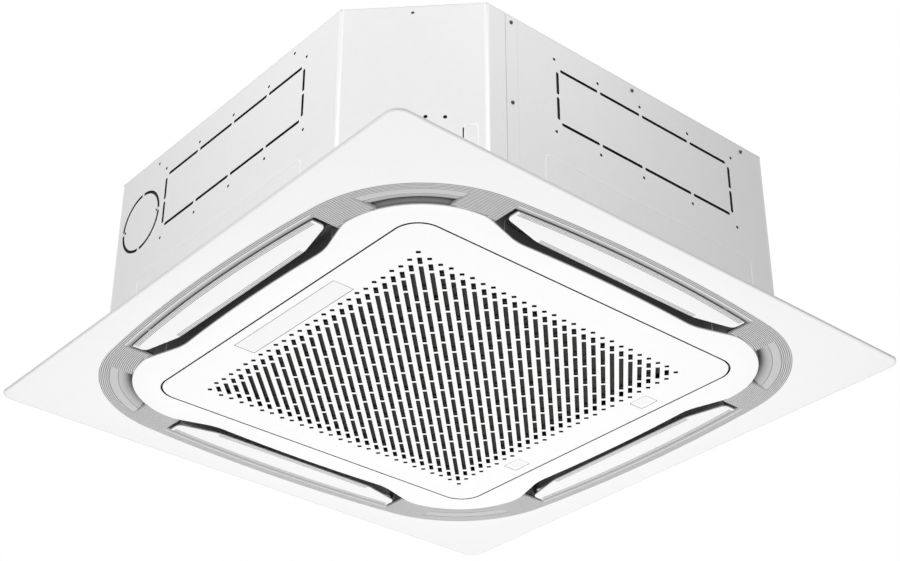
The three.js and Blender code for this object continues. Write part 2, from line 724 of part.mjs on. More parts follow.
function outletRing() {
  const plate = wall(ringOutline(GAP), bandOutline(GAP), RING_FACE, RING_TOP);
  const flapSide = slab(ringOutline(OUTLET_EDGE), RING_FACE - PAST, RING_TOP + PAST);
  const outlets = outletRegion(OUTLET_HALF, RING_FACE - PAST, RING_TOP + PAST).map((tool) =>
    tool.intersect(flapSide),
  );
  const coverSide = slab(ringOutline(RIB_BAND), RING_FACE - PAST, RING_TOP + PAST);
  const corners = cornerRegion(COVER_START).map((tool) => tool.intersect(coverSide));
  const ductWall = wall(
    ringOutline(OUTLET_EDGE - DUCT_WALL_T),
    ringOutline(OUTLET_EDGE),
    RING_TOP - ROOT,
    SKIRT_TOP,
  );
  const ductWalls = union(outletRegion(OUTLET_HALF - GAP, RING_TOP - ROOT, SKIRT_TOP)).intersect(ductWall);
  return cut(plate, [...outlets, ...corners]).add(ductWalls);
}

function cornerCover(turn) {
  const outerR = RING_CORNER_R - RIB_BAND + 1;
  const seamR = outerR - COVER_SEAM * (outerR - BAND_CORNER_R - 17);
  const innerR = BAND_CORNER_R + 12;
  const bottom = [
    [innerR, RING_FACE + COVER_DEPTH],
    [innerR + 10, RING_FACE + COVER_DEPTH * 0.62],
    [seamR, RING_FACE + COVER_DEPTH * 0.12],
    [outerR, RING_FACE],
  ];
  const top = bottom.map(([radius, z]) => [radius, z + COVER_T]).reverse();
  const dish = turned(closedProfile([...bottom, ...top]), 2 * FINE_SIDES, RING_CORNER_C, RING_CORNER_C);
  const start = COVER_START + GAP;
  const region = block(start, PANEL, start, PANEL, -PANEL, PANEL);
  const edge = wall(
    ringOutline(RIB_BAND + GAP),
    bandOutline(GAP),
    RING_FACE - 1,
    CORNER_WEB_Z,
  );
  return turnedBy(dish.intersect(region).intersect(edge), turn);
}

function flap(turn) {
  const blade = slab(flapOutline(), FLAP_FACE, FLAP_TOP);
  const outer = FLAP_HALF - FLAP_CHEEK_INSET;
  const pinEnd = OUTLET_HALF + PANEL_WALL_T + GAP + PIN_IN_MOTOR;
  const parts = [blade];
  for (const side of [-1, 1]) {
    const x = [side * outer, side * (outer - FLAP_CHEEK_T)].sort((a, b) => a - b);
    const armY = FLAP_ARM.map((reach) => FLAP_AXIS_Y + reach);
    const sillY = FLAP_SILL.map((reach) => FLAP_AXIS_Y + reach);
    const arm = block(...x, ...armY, FLAP_TOP, FLAP_AXIS_Z);
    const sill = block(...x, ...sillY, FLAP_TOP - ROOT, FLAP_TOP + FLAP_SILL_H);
    const boss = rod([x[0], FLAP_AXIS_Y, FLAP_AXIS_Z], [x[1], FLAP_AXIS_Y, FLAP_AXIS_Z], FLAP_BOSS_R);
    const pin = rod(
      [side * (outer - ROOT), FLAP_AXIS_Y, FLAP_AXIS_Z],
      [side * pinEnd, FLAP_AXIS_Y, FLAP_AXIS_Z],
      FLAP_PIN_R,
    );
    parts.push(arm, sill, boss, pin);
  }
  return turnedBy(union(parts), turn);
}

function flapMotor(turn) {
  const start = OUTLET_HALF + PANEL_WALL_T + GAP;
  const centre = [FLAP_AXIS_Y, FLAP_AXIS_Z];
  const can = rod([start, ...centre], [start + MOTOR_L, ...centre], MOTOR_R, MEDIUM_SIDES);
  const bore = rod([start - 1, ...centre], [start + MOTOR_BORE, ...centre], FLAP_PIN_R + PIN_CLEARANCE);
  return turnedBy(can.subtract(bore), turn);
}

function panelScrew(turn) {
  const headTop = CORNER_WEB_Z - GAP;
  const screw = turned(
    [
      [0, headTop - SCREW_HEAD_H],
      [SCREW_HEAD_R, headTop - SCREW_HEAD_H],
      [SCREW_HEAD_R, headTop],
      [SCREW_R, headTop],
      [SCREW_R, SCREW_TOP],
      [0, SCREW_TOP],
    ],
    SMALL_SIDES,
    SCREW_AT,
    SCREW_AT,
  );
  return turnedBy(screw, turn);
}

// ---------- grille ----------

// slots lie along the diagonal from the -X -Y corner to the +X +Y corner
function slotTools() {
  const tools = [];
  const reach = SLOT_FIELD_HALF * Math.SQRT2;
  const rows = Math.floor((reach - SLOT_SHORTEST) / SLOT_PITCH);
  for (let row = -rows; row <= rows; row += 1) {
    const across = row * SLOT_PITCH;
    const end = reach - Math.abs(across);
    const shift = row % 2 === 0 ? 0 : (SLOT_L + SLOT_BRIDGE) / 2;
    const count = Math.ceil((2 * reach) / (SLOT_L + SLOT_BRIDGE));
    for (let i = -count; i <= count; i += 1) {
      const middle = shift + i * (SLOT_L + SLOT_BRIDGE);
      const from = Math.max(-end, middle - SLOT_L / 2);
      const to = Math.min(end, middle + SLOT_L / 2);
      if (to - from >= SLOT_SHORTEST) {
        const y = [across - SLOT_W / 2, across + SLOT_W / 2];
        const tool = block(from, to, ...y, FACE - PAST, GRILLE_TOP + PAST);
        tools.push(tool.rotate([0, 0, 45]));
      }
    }
  }
  return tools;
}

// two eyes of the grille, one on each side of a hanger
function hingeEyes(y) {
  const radius = HINGE_PIN_R + HINGE_PIN_CLEARANCE + HINGE_EYE_WALL;
  const eyes = [];
  for (const side of [-1, 1]) {
    const near = side * (HANGER_W / 2 + HANGER_CLEARANCE);
    const span = [y + near, y + near + side * HINGE_EYE_W].sort((a, b) => a - b);
    const eye = rod([HINGE_X, span[0], HINGE_Z], [HINGE_X, span[1], HINGE_Z], radius);
    const foot = block(HINGE_X, HINGE_X + radius, ...span, FACE + HINGE_SKIN - ROOT, HINGE_Z);
    eyes.push(eye.add(foot));
  }
  return union(eyes);
}

// hollow in the grille's upper face that leaves room for a hanger's foot
function hingeRelief(y) {
  const radius = HINGE_PIN_R + 2 * HINGE_PIN_CLEARANCE;
  const half = HANGER_W / 2 + HANGER_CLEARANCE;
  return block(-GRILLE_OPENING, HINGE_X + radius, y - half, y + half, FACE + HINGE_SKIN, GRILLE_TOP + PAST);
}

function hingeHanger(y) {
  const halfX = HANGER_T / 2;
  const halfY = HANGER_W / 2;
  const pinHalf = halfY + HANGER_CLEARANCE + HINGE_EYE_W;
  const headZ = INNER_WALL_TOP + HINGE_DROP + GAP;
  const stem = block(HINGE_X - halfX, HINGE_X + halfX, y - halfY, y + halfY, HINGE_Z, headZ + ROOT);
  const lap = HANGER_HEAD_LAP;
  const headX = [HINGE_X - halfX - lap, HINGE_X + halfX + lap];
  const headY = [y - halfY - lap, y + halfY + lap];
  const head = block(...headX, ...headY, headZ, headZ + HANGER_HEAD_T);
  const pin = rod([HINGE_X, y - pinHalf, HINGE_Z], [HINGE_X, y + pinHalf, HINGE_Z], HINGE_PIN_R);
  return union([stem, head, pin]);
}

function latchHousing(y) {
  const halfX = BUTTON_W / 2 + BUTTON_CLEARANCE + LATCH_WALL;
  const halfY = BUTTON_L / 2 + BUTTON_CLEARANCE + LATCH_WALL;
  const base = GRILLE_TOP - ROOT;
  const top = TONGUE_Z + TONGUE_T + LATCH_WALL + GAP;
  const outer = block(LATCH_BACK_X, LATCH_X + halfX, y - halfY, y + halfY, base, top);
  const inner = block(
    LATCH_BACK_X + LATCH_WALL,
    LATCH_X + halfX - LATCH_WALL,
    y - halfY + LATCH_WALL,
    y + halfY - LATCH_WALL,
    base - PAST,
    top - LATCH_WALL,
  );
  const half = TONGUE_HALF_W + GAP;
  const z = [TONGUE_Z - GAP, TONGUE_Z + TONGUE_T + GAP];
  const window = block(LATCH_X, LATCH_X + halfX + PAST, y - half, y + half, ...z);
  return cut(outer, [inner, window]);
}

function buttonHole(y) {
  const halfX = BUTTON_W / 2 + BUTTON_CLEARANCE;
  const halfY = BUTTON_L / 2 + BUTTON_CLEARANCE;
  const outline = roundedRectangle(LATCH_X - halfX, LATCH_X + halfX, y - halfY, y + halfY, 3);
  return slab(outline, FACE - PAST, GRILLE_TOP + PAST);
}

function filterSeat() {
  const x = [FILTER_X0, FILTER_X1];
  const parts = [];
  for (const side of [-1, 1]) {
    const y = [side * FILTER_HALF_Y, side * (FILTER_HALF_Y - FILTER_SEAT_W)].sort((a, b) => a - b);
    const inset = FILTER_SEAT_IN;
    parts.push(block(x[0] + inset, x[1] - inset, ...y, GRILLE_TOP - ROOT, FILTER_SEAT_Z));
  }
  return parts;
}

function intakeGrille() {
  const plate = slab(roundedSquare(GRILLE_HALF, GRILLE_CORNER_R - GRILLE_SEAM), FACE, GRILLE_TOP);
  const holes = [-LATCH_Y, LATCH_Y].map(buttonHole);
  const halfW = WINDOW_W / 2 + GAP;
  const halfL = WINDOW_L / 2 + GAP;
  const pocketZ = [FACE - PAST, FACE + WINDOW_POCKET];
  const pocket = block(WINDOW_X - halfW, WINDOW_X + halfW, -halfL, halfL, ...pocketZ);
  const reliefs = [-HINGE_Y, HINGE_Y].map(hingeRelief);
  const open = cut(plate, [union(slotTools()), ...holes, pocket, ...reliefs]);
  const eyes = [-HINGE_Y, HINGE_Y].map(hingeEyes);
  const housings = [-LATCH_Y, LATCH_Y].map(latchHousing);
  const boreHalf = HANGER_W + HINGE_EYE_W;
  const bores = [-HINGE_Y, HINGE_Y].map((y) => {
    const ends = [y - boreHalf, y + boreHalf].map((end) => [HINGE_X, end, HINGE_Z]);
    return rod(...ends, HINGE_PIN_R + HINGE_PIN_CLEARANCE);
  });
  return cut(union([open, ...eyes, ...housings, ...filterSeat()]), bores);
}

function windowPlate() {
  const y = WINDOW_L / 2;
  return block(WINDOW_X - WINDOW_W / 2, WINDOW_X + WINDOW_W / 2, -y, y, FACE, FACE + WINDOW_T);
}

function latchButton(y) {
  const x = [LATCH_X - BUTTON_W / 2, LATCH_X + BUTTON_W / 2];
  const outline = roundedRectangle(...x, y - BUTTON_L / 2, y + BUTTON_L / 2, 3);
  const face = slab(outline, FACE, FACE + BUTTON_T);
  const stemY = STEM_AT.map((reach) => y - BUTTON_L / 2 + reach);
  const stemX = [LATCH_X - STEM_HALF_W, LATCH_X + STEM_HALF_W];
  const stem = block(...stemX, ...stemY, FACE + BUTTON_T - ROOT, STEM_TOP);
  return face.add(stem);
}

function latchTongue(y) {
  const z = [TONGUE_Z, TONGUE_Z + TONGUE_T];
  const bar = block(TONGUE_TAIL_X, TONGUE_TIP, y - TONGUE_HALF_W, y + TONGUE_HALF_W, ...z);
  const tail = block(
    TONGUE_TAIL_X,
    TONGUE_TAIL_X + TONGUE_TAIL_W,
    y - TONGUE_TAIL_HALF_W,
    y + TONGUE_TAIL_HALF_W,
    ...z,
  );
  return bar.add(tail);
}

function latchSpring(y) {
  const z = TONGUE_Z + TONGUE_T / 2;
  return rod([LATCH_BACK_X + LATCH_WALL + GAP, y, z], [TONGUE_TAIL_X - GAP, y, z], SPRING_R, SMALL_SIDES);
}

function airFilter() {
  const z = [FILTER_SEAT_Z + GAP, FILTER_SEAT_Z + GAP + FILTER_T];
  const y = [-FILTER_HALF_Y, FILTER_HALF_Y];
  const x = [FILTER_X0, FILTER_X1];
  const w = FILTER_FRAME_W;
  const frame = block(...x, ...y, ...z).subtract(
    block(x[0] + w, x[1] - w, y[0] + w, y[1] - w, z[0] - PAST, z[1] + PAST),
  );
  const bars = [];
  for (let i = 1; i <= FILTER_BARS; i += 1) {
    const middle = x[0] + ((x[1] - x[0]) * i) / (FILTER_BARS + 1);
    const half = FILTER_BAR_W / 2;
    bars.push(block(middle - half, middle + half, y[0] + w / 2, y[1] - w / 2, ...z));
  }
  const meshZ = [z[0] + MESH_UP, z[0] + MESH_UP + MESH_T];
  const mesh = block(x[0] + w / 2, x[1] - w / 2, y[0] + w / 2, y[1] - w / 2, ...meshZ);
  return union([frame, ...bars, mesh]);
}

// ---------- casing ----------

function rectangleSlits(span, bridges) {
  const depth = SLIT_TOOL_DEPTH;
  const tools = [];
  const length = span[1] - span[0];
  const edges = [span[0], ...bridges.map((share) => span[0] + share * length), span[1]];
  for (const z of [KNOCKOUT_LOW, KNOCKOUT_HIGH]) {
    for (let i = 0; i < edges.length - 1; i += 1) {
      const from = edges[i] + (i === 0 ? -SLIT / 2 : BRIDGE / 2);
      const to = edges[i + 1] + (i === edges.length - 2 ? SLIT / 2 : -BRIDGE / 2);
      tools.push(block(from, to, -depth, depth, z - SLIT / 2, z + SLIT / 2));
    }
  }
  const middle = (KNOCKOUT_LOW + KNOCKOUT_HIGH) / 2;
  for (const x of span) {
    for (const z of [
      [KNOCKOUT_LOW, middle - BRIDGE / 2],
      [middle + BRIDGE / 2, KNOCKOUT_HIGH],
    ]) {
      tools.push(block(x - SLIT / 2, x + SLIT / 2, -depth, depth, ...z));
    }
  }
  return union(tools);
}

function roundSlits() {
  const ring = turned(
    closedProfile([
      [ROUND_KNOCKOUT_R - SLIT / 2, -SLIT_TOOL_DEPTH],
      [ROUND_KNOCKOUT_R + SLIT / 2, -SLIT_TOOL_DEPTH],
      [ROUND_KNOCKOUT_R + SLIT / 2, SLIT_TOOL_DEPTH],
      [ROUND_KNOCKOUT_R - SLIT / 2, SLIT_TOOL_DEPTH],
    ]),
    MEDIUM_SIDES,
  );
  const far = ROUND_KNOCKOUT_R + SLIT;
  const deep = SLIT_TOOL_DEPTH + PAST;
  const bridges = [
    block(-far, far, -BRIDGE / 2, BRIDGE / 2, -deep, deep),
    block(-BRIDGE / 2, BRIDGE / 2, -far, far, -deep, deep),
  ];
  return cut(ring, bridges);
}

// one wrapped sheet: the -X side, both cut corners beside it and most of the +Y side
function casingSheet(hasPipes) {
  const z = [CASE_BOTTOM, SHEET_TOP];
  const shell = wall(octagon(0), octagon(SHEET_T), ...z);
  const flange = wall(octagon(0), octagon(FLANGE_W), CASE_BOTTOM, CASE_BOTTOM + SHEET_T);
  const farFlange = wall(octagon(0), octagon(CORNER_FLANGE_W), CASE_BOTTOM, CASE_BOTTOM + SHEET_T);
  const cornerFlange = farFlange.intersect(union(cornerRegion(CASE_FLAT - FLANGE_W)));
  const whole = union([shell, flange, cornerFlange]);
  const far = 2 * CASE_HALF;
  const half = union([
    block(-far, -SEAM_AT - GAP, -far, 0, -far, far),
    block(-far, SEAM_AT, 0, far, -far, far),
    block(-far, -CASE_FLAT, -far, far, -far, far),
  ]);
  const inner = -CASE_HALF + SHEET_T + GAP;
  const step = SEAM_JOGGLE.map((reach) => -SEAM_AT - reach);
  const lapBottom = CASE_BOTTOM + 2 * SHEET_T;
  const lap = block(step[1], -SEAM_AT + SEAM_LAP, inner, inner + SHEET_T, lapBottom, SHEET_TOP);
  const joggle = block(step[1], step[0], -CASE_HALF + SHEET_T / 2, inner + SHEET_T, ...z);
  const sideSlits = rectangleSlits(SIDE_KNOCKOUT, SIDE_BRIDGES)
    .rotate([0, 0, 90])
    .translate([-CASE_HALF, 0, 0]);
  const wideSlits = rectangleSlits(WIDE_KNOCKOUT, WIDE_BRIDGES)
    .rotate([0, 0, 180])
    .translate([0, CASE_HALF, 0]);
  const round = roundSlits()
    .rotate([0, 90, 0])
    .translate([-CASE_HALF, ROUND_KNOCKOUT_Y, ROUND_KNOCKOUT_Z]);
  const screwHoles = QUARTERS.map((turn) =>
    turnedBy(rod([SCREW_AT, SCREW_AT, 0], [SCREW_AT, SCREW_AT, SCREW_TOP], SCREW_HOLE_R), turn),
  );
  const tools = [sideSlits, wideSlits, round, ...screwHoles];
  if (hasPipes) {
    tools.push(pipeWindow().rotate([0, 0, 180]), drainHole().rotate([0, 0, 180]));
  }
  return cut(union([whole.intersect(half), lap, joggle]), tools);
}

function topPlate() {
  const plate = slab(octagon(0), CASE_TOP - TOP_PLATE_T, CASE_TOP);
  const out = SHEET_T * 2 + GAP * 2;
  const rim = wall(octagon(out), octagon(out + TOP_RIM_T), CASE_TOP - TOP_RIM_H, CASE_TOP - ROOT);
  return plate.add(rim);
}

function topFoam() {
  const out = SHEET_T * 2 + GAP * 3 + TOP_RIM_T;
  return wall(octagon(out), circle(TOP_FOAM_HOLE_R, MEDIUM_SIDES), TOP_FOAM_BOTTOM, TOP_FOAM_TOP);
}

function sideFoam() {
  const out = SHEET_T * 2 + GAP * 2;
  const body = wall(
    octagon(out),
    octagon(out + SIDE_FOAM_T),
    SIDE_FOAM_BOTTOM,
    CASE_TOP - TOP_RIM_H - GAP,
  );
  return cut(body, [pipeWindow(), drainHole()]);
}

function drainPan() {
  const out = SHEET_T * 2 + PAN_SLIDE;
  const far = PAN_OUTLET_HALF;
  const outletY = [PAN_OUTLET_INNER, PAN_OUTLET_OUTER];
  const floor = wall(octagon(out), circle(BELL_HOLE_R, FINE_SIDES), PAN_BOTTOM, PAN_FLOOR);
  const outlets = QUARTERS.map((turn) =>
    turnedBy(block(-far, far, ...outletY, PAN_BOTTOM - PAST, PAN_FLOOR + PAST), turn),
  );
  const rimZ = [CASE_BOTTOM + SHEET_T + GAP, SIDE_FOAM_BOTTOM - GAP];
  const rim = wall(octagon(out), octagon(out + PAN_RIM_T), ...rimZ);
  const troughOuter = COIL_HALF + PAN_WALL_T + TROUGH_GAP;
  const trough = wall(
    roundedSquare(troughOuter, COIL_CORNER_R + TROUGH_GROWTH, 4),
    roundedSquare(troughOuter - PAN_WALL_T, COIL_CORNER_R, 4),
    PAN_FLOOR - ROOT,
    PAN_TROUGH_TOP,
  );
  const near = COIL_OPEN_FROM;
  const middle = COIL_HALF - TROUGH_CUT_IN;
  const service = [
    point(near, PANEL),
    point(near, middle),
    point(middle, near),
    point(PANEL, near),
    point(PANEL, PANEL),
  ];
  const servicePocket = slab(service, PAN_FLOOR, PAN_TROUGH_TOP + PAST);
  const well = wall(
    circle(BELL_HOLE_R + PAN_WALL_T, FINE_SIDES),
    circle(BELL_HOLE_R, FINE_SIDES),
    PAN_FLOOR - ROOT,
    PAN_TROUGH_TOP - WELL_LOWER,
  );
  return union([cut(floor, outlets), rim, cut(trough, [servicePocket]), well]);
}

// ---------- fan ----------

function bellMouth() {
  const low = PAN_BOTTOM - GAP - BELL_T;
  const outer = [
    [BELL_FLANGE_R, low],
    [BELL_HOLE_R - 6, low],
    [BELL_HOLE_R - 22, low + 4],
    [BELL_THROAT_R + 10, low + 18],
    [BELL_THROAT_R - BELL_T, low + 34],
    [BELL_THROAT_R - BELL_T, BELL_TOP],
  ];
  const inner = [
    [BELL_THROAT_R, BELL_TOP],
    [BELL_THROAT_R, low + 35],
    [BELL_THROAT_R + 11, low + 20],
    [BELL_HOLE_R - 21, low + 6.5],
    [BELL_HOLE_R - 6, low + BELL_T],
    [BELL_FLANGE_R, low + BELL_T],
  ];
  return turned(closedProfile([...outer, ...inner]));
}

function shroudProfile(lift) {
  const rise = FAN_SHROUD_TOP - FAN_BOTTOM;
  const spread = FAN_R - FAN_INLET_R;
  return [
    [FAN_INLET_R, FAN_BOTTOM + lift],
    [FAN_INLET_R + spread * 0.12, FAN_BOTTOM + rise * 0.45 + lift],
    [FAN_INLET_R + spread * 0.42, FAN_BOTTOM + rise * 0.8 + lift],
    [FAN_R, FAN_SHROUD_TOP + lift],
  ];
}

function fanBlade() {
  const steps = 5;
  const middle = [];
  for (let i = 0; i <= steps; i += 1) {
    const share = i / steps;
    const radius = BLADE_INNER_R + (FAN_R - 1 - BLADE_INNER_R) * share;
    const angle = THREE.MathUtils.degToRad(-BLADE_SWEEP * share ** 1.2);
    middle.push(point(radius * Math.cos(angle), radius * Math.sin(angle)));
  }
  const offset = (p, i, side) => {
    const before = middle[Math.max(i - 1, 0)];
    const after = middle[Math.min(i + 1, steps)];
    const along = after.clone().sub(before).normalize();
    const thick = (side * BLADE_T) / 2 / (1 + Math.abs(i / steps - 0.4));
    return point(p.x - along.y * thick, p.y + along.x * thick);
  };
  const left = middle.map((p, i) => offset(p, i, 1));
  const right = middle.map((p, i) => offset(p, i, -1)).reverse();
  return slab([...right, ...left].reverse(), FAN_BOTTOM, FAN_BACK_Z + 1);
}

function turboFan() {
  const shroud = turned(closedProfile([...shroudProfile(0), ...shroudProfile(FAN_T).reverse()]));
  const back = turned(
    closedProfile([
      [FAN_BORE_R, FAN_HUB_FLOOR_Z],
      [FAN_HUB_FLOOR_R, FAN_HUB_FLOOR_Z],
      [FAN_HUB_R, FAN_BACK_Z - 8],
      [FAN_HUB_R + 12, FAN_BACK_Z],
      [FAN_R, FAN_BACK_Z],
      [FAN_R, FAN_BACK_Z + FAN_T],
      [FAN_HUB_R + 8, FAN_BACK_Z + FAN_T],
      [FAN_HUB_R - FAN_T, FAN_BACK_Z - 6],
      [FAN_HUB_FLOOR_R - FAN_T, FAN_HUB_FLOOR_Z + FAN_T],
      [FAN_BORE_R, FAN_HUB_FLOOR_Z + FAN_T],
    ]),
  );
  const low = BELL_TOP + BLADE_RISE;
  const envelope = turned(
    closedProfile([
      [100, low],
      [FAN_INLET_R + 1, low],
      ...shroudProfile(FAN_T / 2).slice(1),
      [FAN_R, FAN_BACK_Z + 1],
      [100, FAN_BACK_Z + 1],
    ]),
  );
  const blade = fanBlade().intersect(envelope);
  const blades = [];
  for (let i = 0; i < BLADES; i += 1) {
    blades.push(blade.rotate([0, 0, (360 * i) / BLADES]));
  }
  return union([shroud, back, ...blades]);
}

function motorShaft() {
  return rod([0, 0, SHAFT_BOTTOM], [0, 0, FAN_MOTOR_BOTTOM + SHAFT_INSERT - 1], SHAFT_R, MEDIUM_SIDES);
}

function fanNut() {
  const top = FAN_HUB_FLOOR_Z - GAP;
  const nut = rod([0, 0, top - NUT_H], [0, 0, top], NUT_R, 6);
  return nut.subtract(rod([0, 0, 0], [0, 0, top + 1], SHAFT_R + GAP, MEDIUM_SIDES));
}

function fanMotor() {
  const bore = SHAFT_R + GAP + 0.2;
  const low = FAN_MOTOR_BOTTOM;
  return turned(
    closedProfile([
      [bore, low],
      [FAN_MOTOR_R - 18, low],
      [FAN_MOTOR_R - 14, low + 8],
      [FAN_MOTOR_R - 2, low + 8],
      [FAN_MOTOR_R, low + 12],
      [FAN_MOTOR_R, FAN_MOTOR_TOP],
      [FAN_MOTOR_FLANGE_R, FAN_MOTOR_TOP],
      [FAN_MOTOR_FLANGE_R, FAN_MOTOR_TOP + FAN_MOTOR_FLANGE_T],
      [bore, FAN_MOTOR_TOP + FAN_MOTOR_FLANGE_T],
    ]),
    MEDIUM_SIDES * 1.5,
  );
}

function motorFoot(index) {
  const angle = (2 * Math.PI * index) / FEET;
  const x = FOOT_CIRCLE * Math.cos(angle);
  const y = FOOT_CIRCLE * Math.sin(angle);
  const low = FAN_MOTOR_TOP + FAN_MOTOR_FLANGE_T + GAP;
  return rod([x, y, low], [x, y, CASE_TOP - TOP_PLATE_T - GAP], FOOT_R);
}

// ---------- heat exchanger ----------

function coil() {
  const z = [PAN_FLOOR + GAP, TOP_FOAM_BOTTOM - GAP];
  const ring = wall(
    roundedSquare(COIL_HALF, COIL_CORNER_R, 4),
    roundedSquare(COIL_INNER, COIL_CORNER_R - COIL_DEPTH, 4),
    ...z,
  );
  const from = COIL_OPEN_FROM;
  return ring.subtract(block(from, PANEL, from, PANEL, 0, CASE_TOP));
}

function closingPlate() {
  const z = [PAN_FLOOR + GAP, TOP_FOAM_BOTTOM - GAP];
  const start = COIL_OPEN_FROM + GAP;
  const inner = COIL_INNER;
  const t = CLOSING_PLATE_T;
  return slab(
    [
      point(start, COIL_HALF),
      point(start, inner),
      point(inner, start),
      point(COIL_HALF, start),
      point(COIL_HALF, start + t),
      point(inner + t * 0.6, start + t),
      point(start + t, inner + t * 0.6),
      point(start + t, COIL_HALF),
    ].reverse(),
    ...z,
  );
}

// ---------- pipes ----------

const CORNER_REACH = (2 * CASE_HALF - CASE_LEG) / Math.SQRT2; // centre to the cut corner's face

// built along +X and turned to the +X +Y diagonal
function onCorner(body) {
  return body.rotate([0, 0, 45]);
}

function pipeWindow() {
  const depth = [CORNER_REACH - 25, CORNER_REACH + 25];
  const half = PIPE_WINDOW_W / 2;
  const z = [PIPE_Z - PIPE_WINDOW_H / 2, PIPE_Z + PIPE_WINDOW_H / 2];
  return onCorner(block(...depth, -half, half, ...z));
}

function drainHole() {
  const reach = SLIT_TOOL_DEPTH;
  const ends = [CASE_HALF - reach, CASE_HALF + reach].map((x) => [x, DRAIN_Y, DRAIN_Z]);
  return rod(...ends, DRAIN_R + GAP, MEDIUM_SIDES);
}

function pipePlate() {
  const x = [CORNER_REACH + GAP, CORNER_REACH + GAP + PIPE_PLATE_T];
  const z = [PIPE_Z - PIPE_PLATE_H / 2, PIPE_Z + PIPE_PLATE_H / 2];
  const plate = block(...x, -PIPE_PLATE_W / 2, PIPE_PLATE_W / 2, ...z);
  const holes = [
    [-1, GAS_PIPE_R],
    [1, LIQUID_PIPE_R],
  ].map(([side, radius]) => {
    const y = (side * PIPE_SPREAD) / 2;
    const ends = [x[0] - PAST, x[1] + PAST].map((end) => [end, y, PIPE_Z]);
    return rod(...ends, radius + PIPE_HOLE_CLEARANCE / 2, MEDIUM_SIDES);
  });
  return onCorner(cut(plate, holes));
}

function refrigerantPipe(side, radius) {
  const y = (side * PIPE_SPREAD) / 2;
  const out = CORNER_REACH + PIPE_OUTSIDE;
  const start = [CORNER_REACH - PIPE_INSIDE, y, PIPE_Z];
  const pipe = rod(start, [out, y, PIPE_Z], radius);
  const drop = rod([start[0] + radius, y, PIPE_Z], [start[0] + radius, y, PAN_FLOOR + GAP], radius);
  return onCorner(pipe.add(drop));
}

function flareNut(side, radius) {
  const y = (side * PIPE_SPREAD) / 2;
  const out = CORNER_REACH + PIPE_OUTSIDE;
  const nut = rod([out - FLARE_NUT_L, y, PIPE_Z], [out + 2, y, PIPE_Z], radius * NUT_GROWTH, 6);
  const bore = rod([out - FLARE_NUT_L - 1, y, PIPE_Z], [out + 3, y, PIPE_Z], radius + GAP);
  return onCorner(nut.subtract(bore));
}

// ---------- drain pump ----------

function drainPump() {
  const [x, y] = PUMP;
  const inner = PUMP_FOOT_R - PUMP_FOOT_T;
  const body = turned(
    [
      [IMPELLER_SHAFT_R + GAP, PUMP_BOTTOM],
      [inner, PUMP_BOTTOM - 6],
      [inner, PUMP_FOOT_BOTTOM],
      [PUMP_FOOT_R, PUMP_FOOT_BOTTOM],
      [PUMP_FOOT_R, PUMP_BOTTOM],
      [PUMP_R, PUMP_BOTTOM + 4],
      [PUMP_R, PUMP_TOP],
      [IMPELLER_SHAFT_R + GAP, PUMP_TOP],
      [IMPELLER_SHAFT_R + GAP, PUMP_BOTTOM],
    ],
    MEDIUM_SIDES,
    x,
    y,
  );
  const wallY = CASE_HALF - SHEET_T * 2 - GAP * 2 - SIDE_FOAM_T - GAP;
  const bracketX = [x - PUMP_BRACKET_W / 2, x + PUMP_BRACKET_W / 2];
  const bracket = block(...bracketX, y, wallY, PUMP_TOP - PUMP_BRACKET_T, PUMP_TOP);
  const bore = rod([x, y, PUMP_BOTTOM], [x, y, PUMP_TOP + 1], IMPELLER_SHAFT_R + GAP);
  const spoutZ = PUMP_BOTTOM + PUMP_SPOUT_UP;
  const spout = rod([x, y, spoutZ], [x + PUMP_R + PUMP_SPOUT_L, y, spoutZ], DRAIN_PIPE_R - 2);
  const hollow = rod([x, y, 0], [x, y, PUMP_BOTTOM + 1], IMPELLER_SHAFT_R + GAP);
  return cut(union([body, bracket, spout]), [bore, hollow]);
}

function pumpImpeller() {
  const [x, y] = PUMP;
  const low = PUMP_FOOT_BOTTOM + 3;
  const disc = rod([x, y, low], [x, y, low + 2], IMPELLER_R);
  const vane = block(x - IMPELLER_R + 1, x + IMPELLER_R - 1, y - 0.8, y + 0.8, low + 1, low + IMPELLER_H);
  const shaft = rod([x, y, low], [x, y, PUMP_TOP - 12], IMPELLER_SHAFT_R);
  return union([disc, vane, turnVane(vane, x, y), shaft]);
}

function turnVane(vane, x, y) {
  return vane.translate([-x, -y, 0]).rotate([0, 0, 90]).translate([x, y, 0]);
}

function drainPipe() {
  const [x, y] = PUMP;
  const z = PUMP_BOTTOM + PUMP_SPOUT_UP;
  const start = x + PUMP_R + PUMP_SPOUT_L + GAP;
  const end = CASE_HALF - DRAIN_INSIDE;
  return tube(
    [
      [start, y, z],
      [start + DRAIN_PIPE_R, y, z],
      [start + DRAIN_BEND[0], y - DRAIN_BEND[1], (z + DRAIN_Z) / 2],
      [end - DRAIN_PIPE_R, DRAIN_Y, DRAIN_Z],
      [end, DRAIN_Y, DRAIN_Z],
    ],
    DRAIN_PIPE_R,
  );
}

function drainSocket() {
  const x = [CASE_HALF - DRAIN_INSIDE + GAP, CASE_HALF + DRAIN_OUT];
  const barrel = rod([x[0], DRAIN_Y, DRAIN_Z], [x[1], DRAIN_Y, DRAIN_Z], DRAIN_R, MEDIUM_SIDES);
  const collarX = [CASE_HALF + GAP, CASE_HALF + GAP + DRAIN_COLLAR_T];
  const collarR = DRAIN_R + DRAIN_COLLAR_W;
  const collar = rod([collarX[0], DRAIN_Y, DRAIN_Z], [collarX[1], DRAIN_Y, DRAIN_Z], collarR, MEDIUM_SIDES);
  const ends = [x[0] - PAST, x[1] + PAST].map((end) => [end, DRAIN_Y, DRAIN_Z]);
  const bore = rod(...ends, DRAIN_BORE_R, MEDIUM_SIDES);
  return barrel.add(collar).subtract(bore);
}

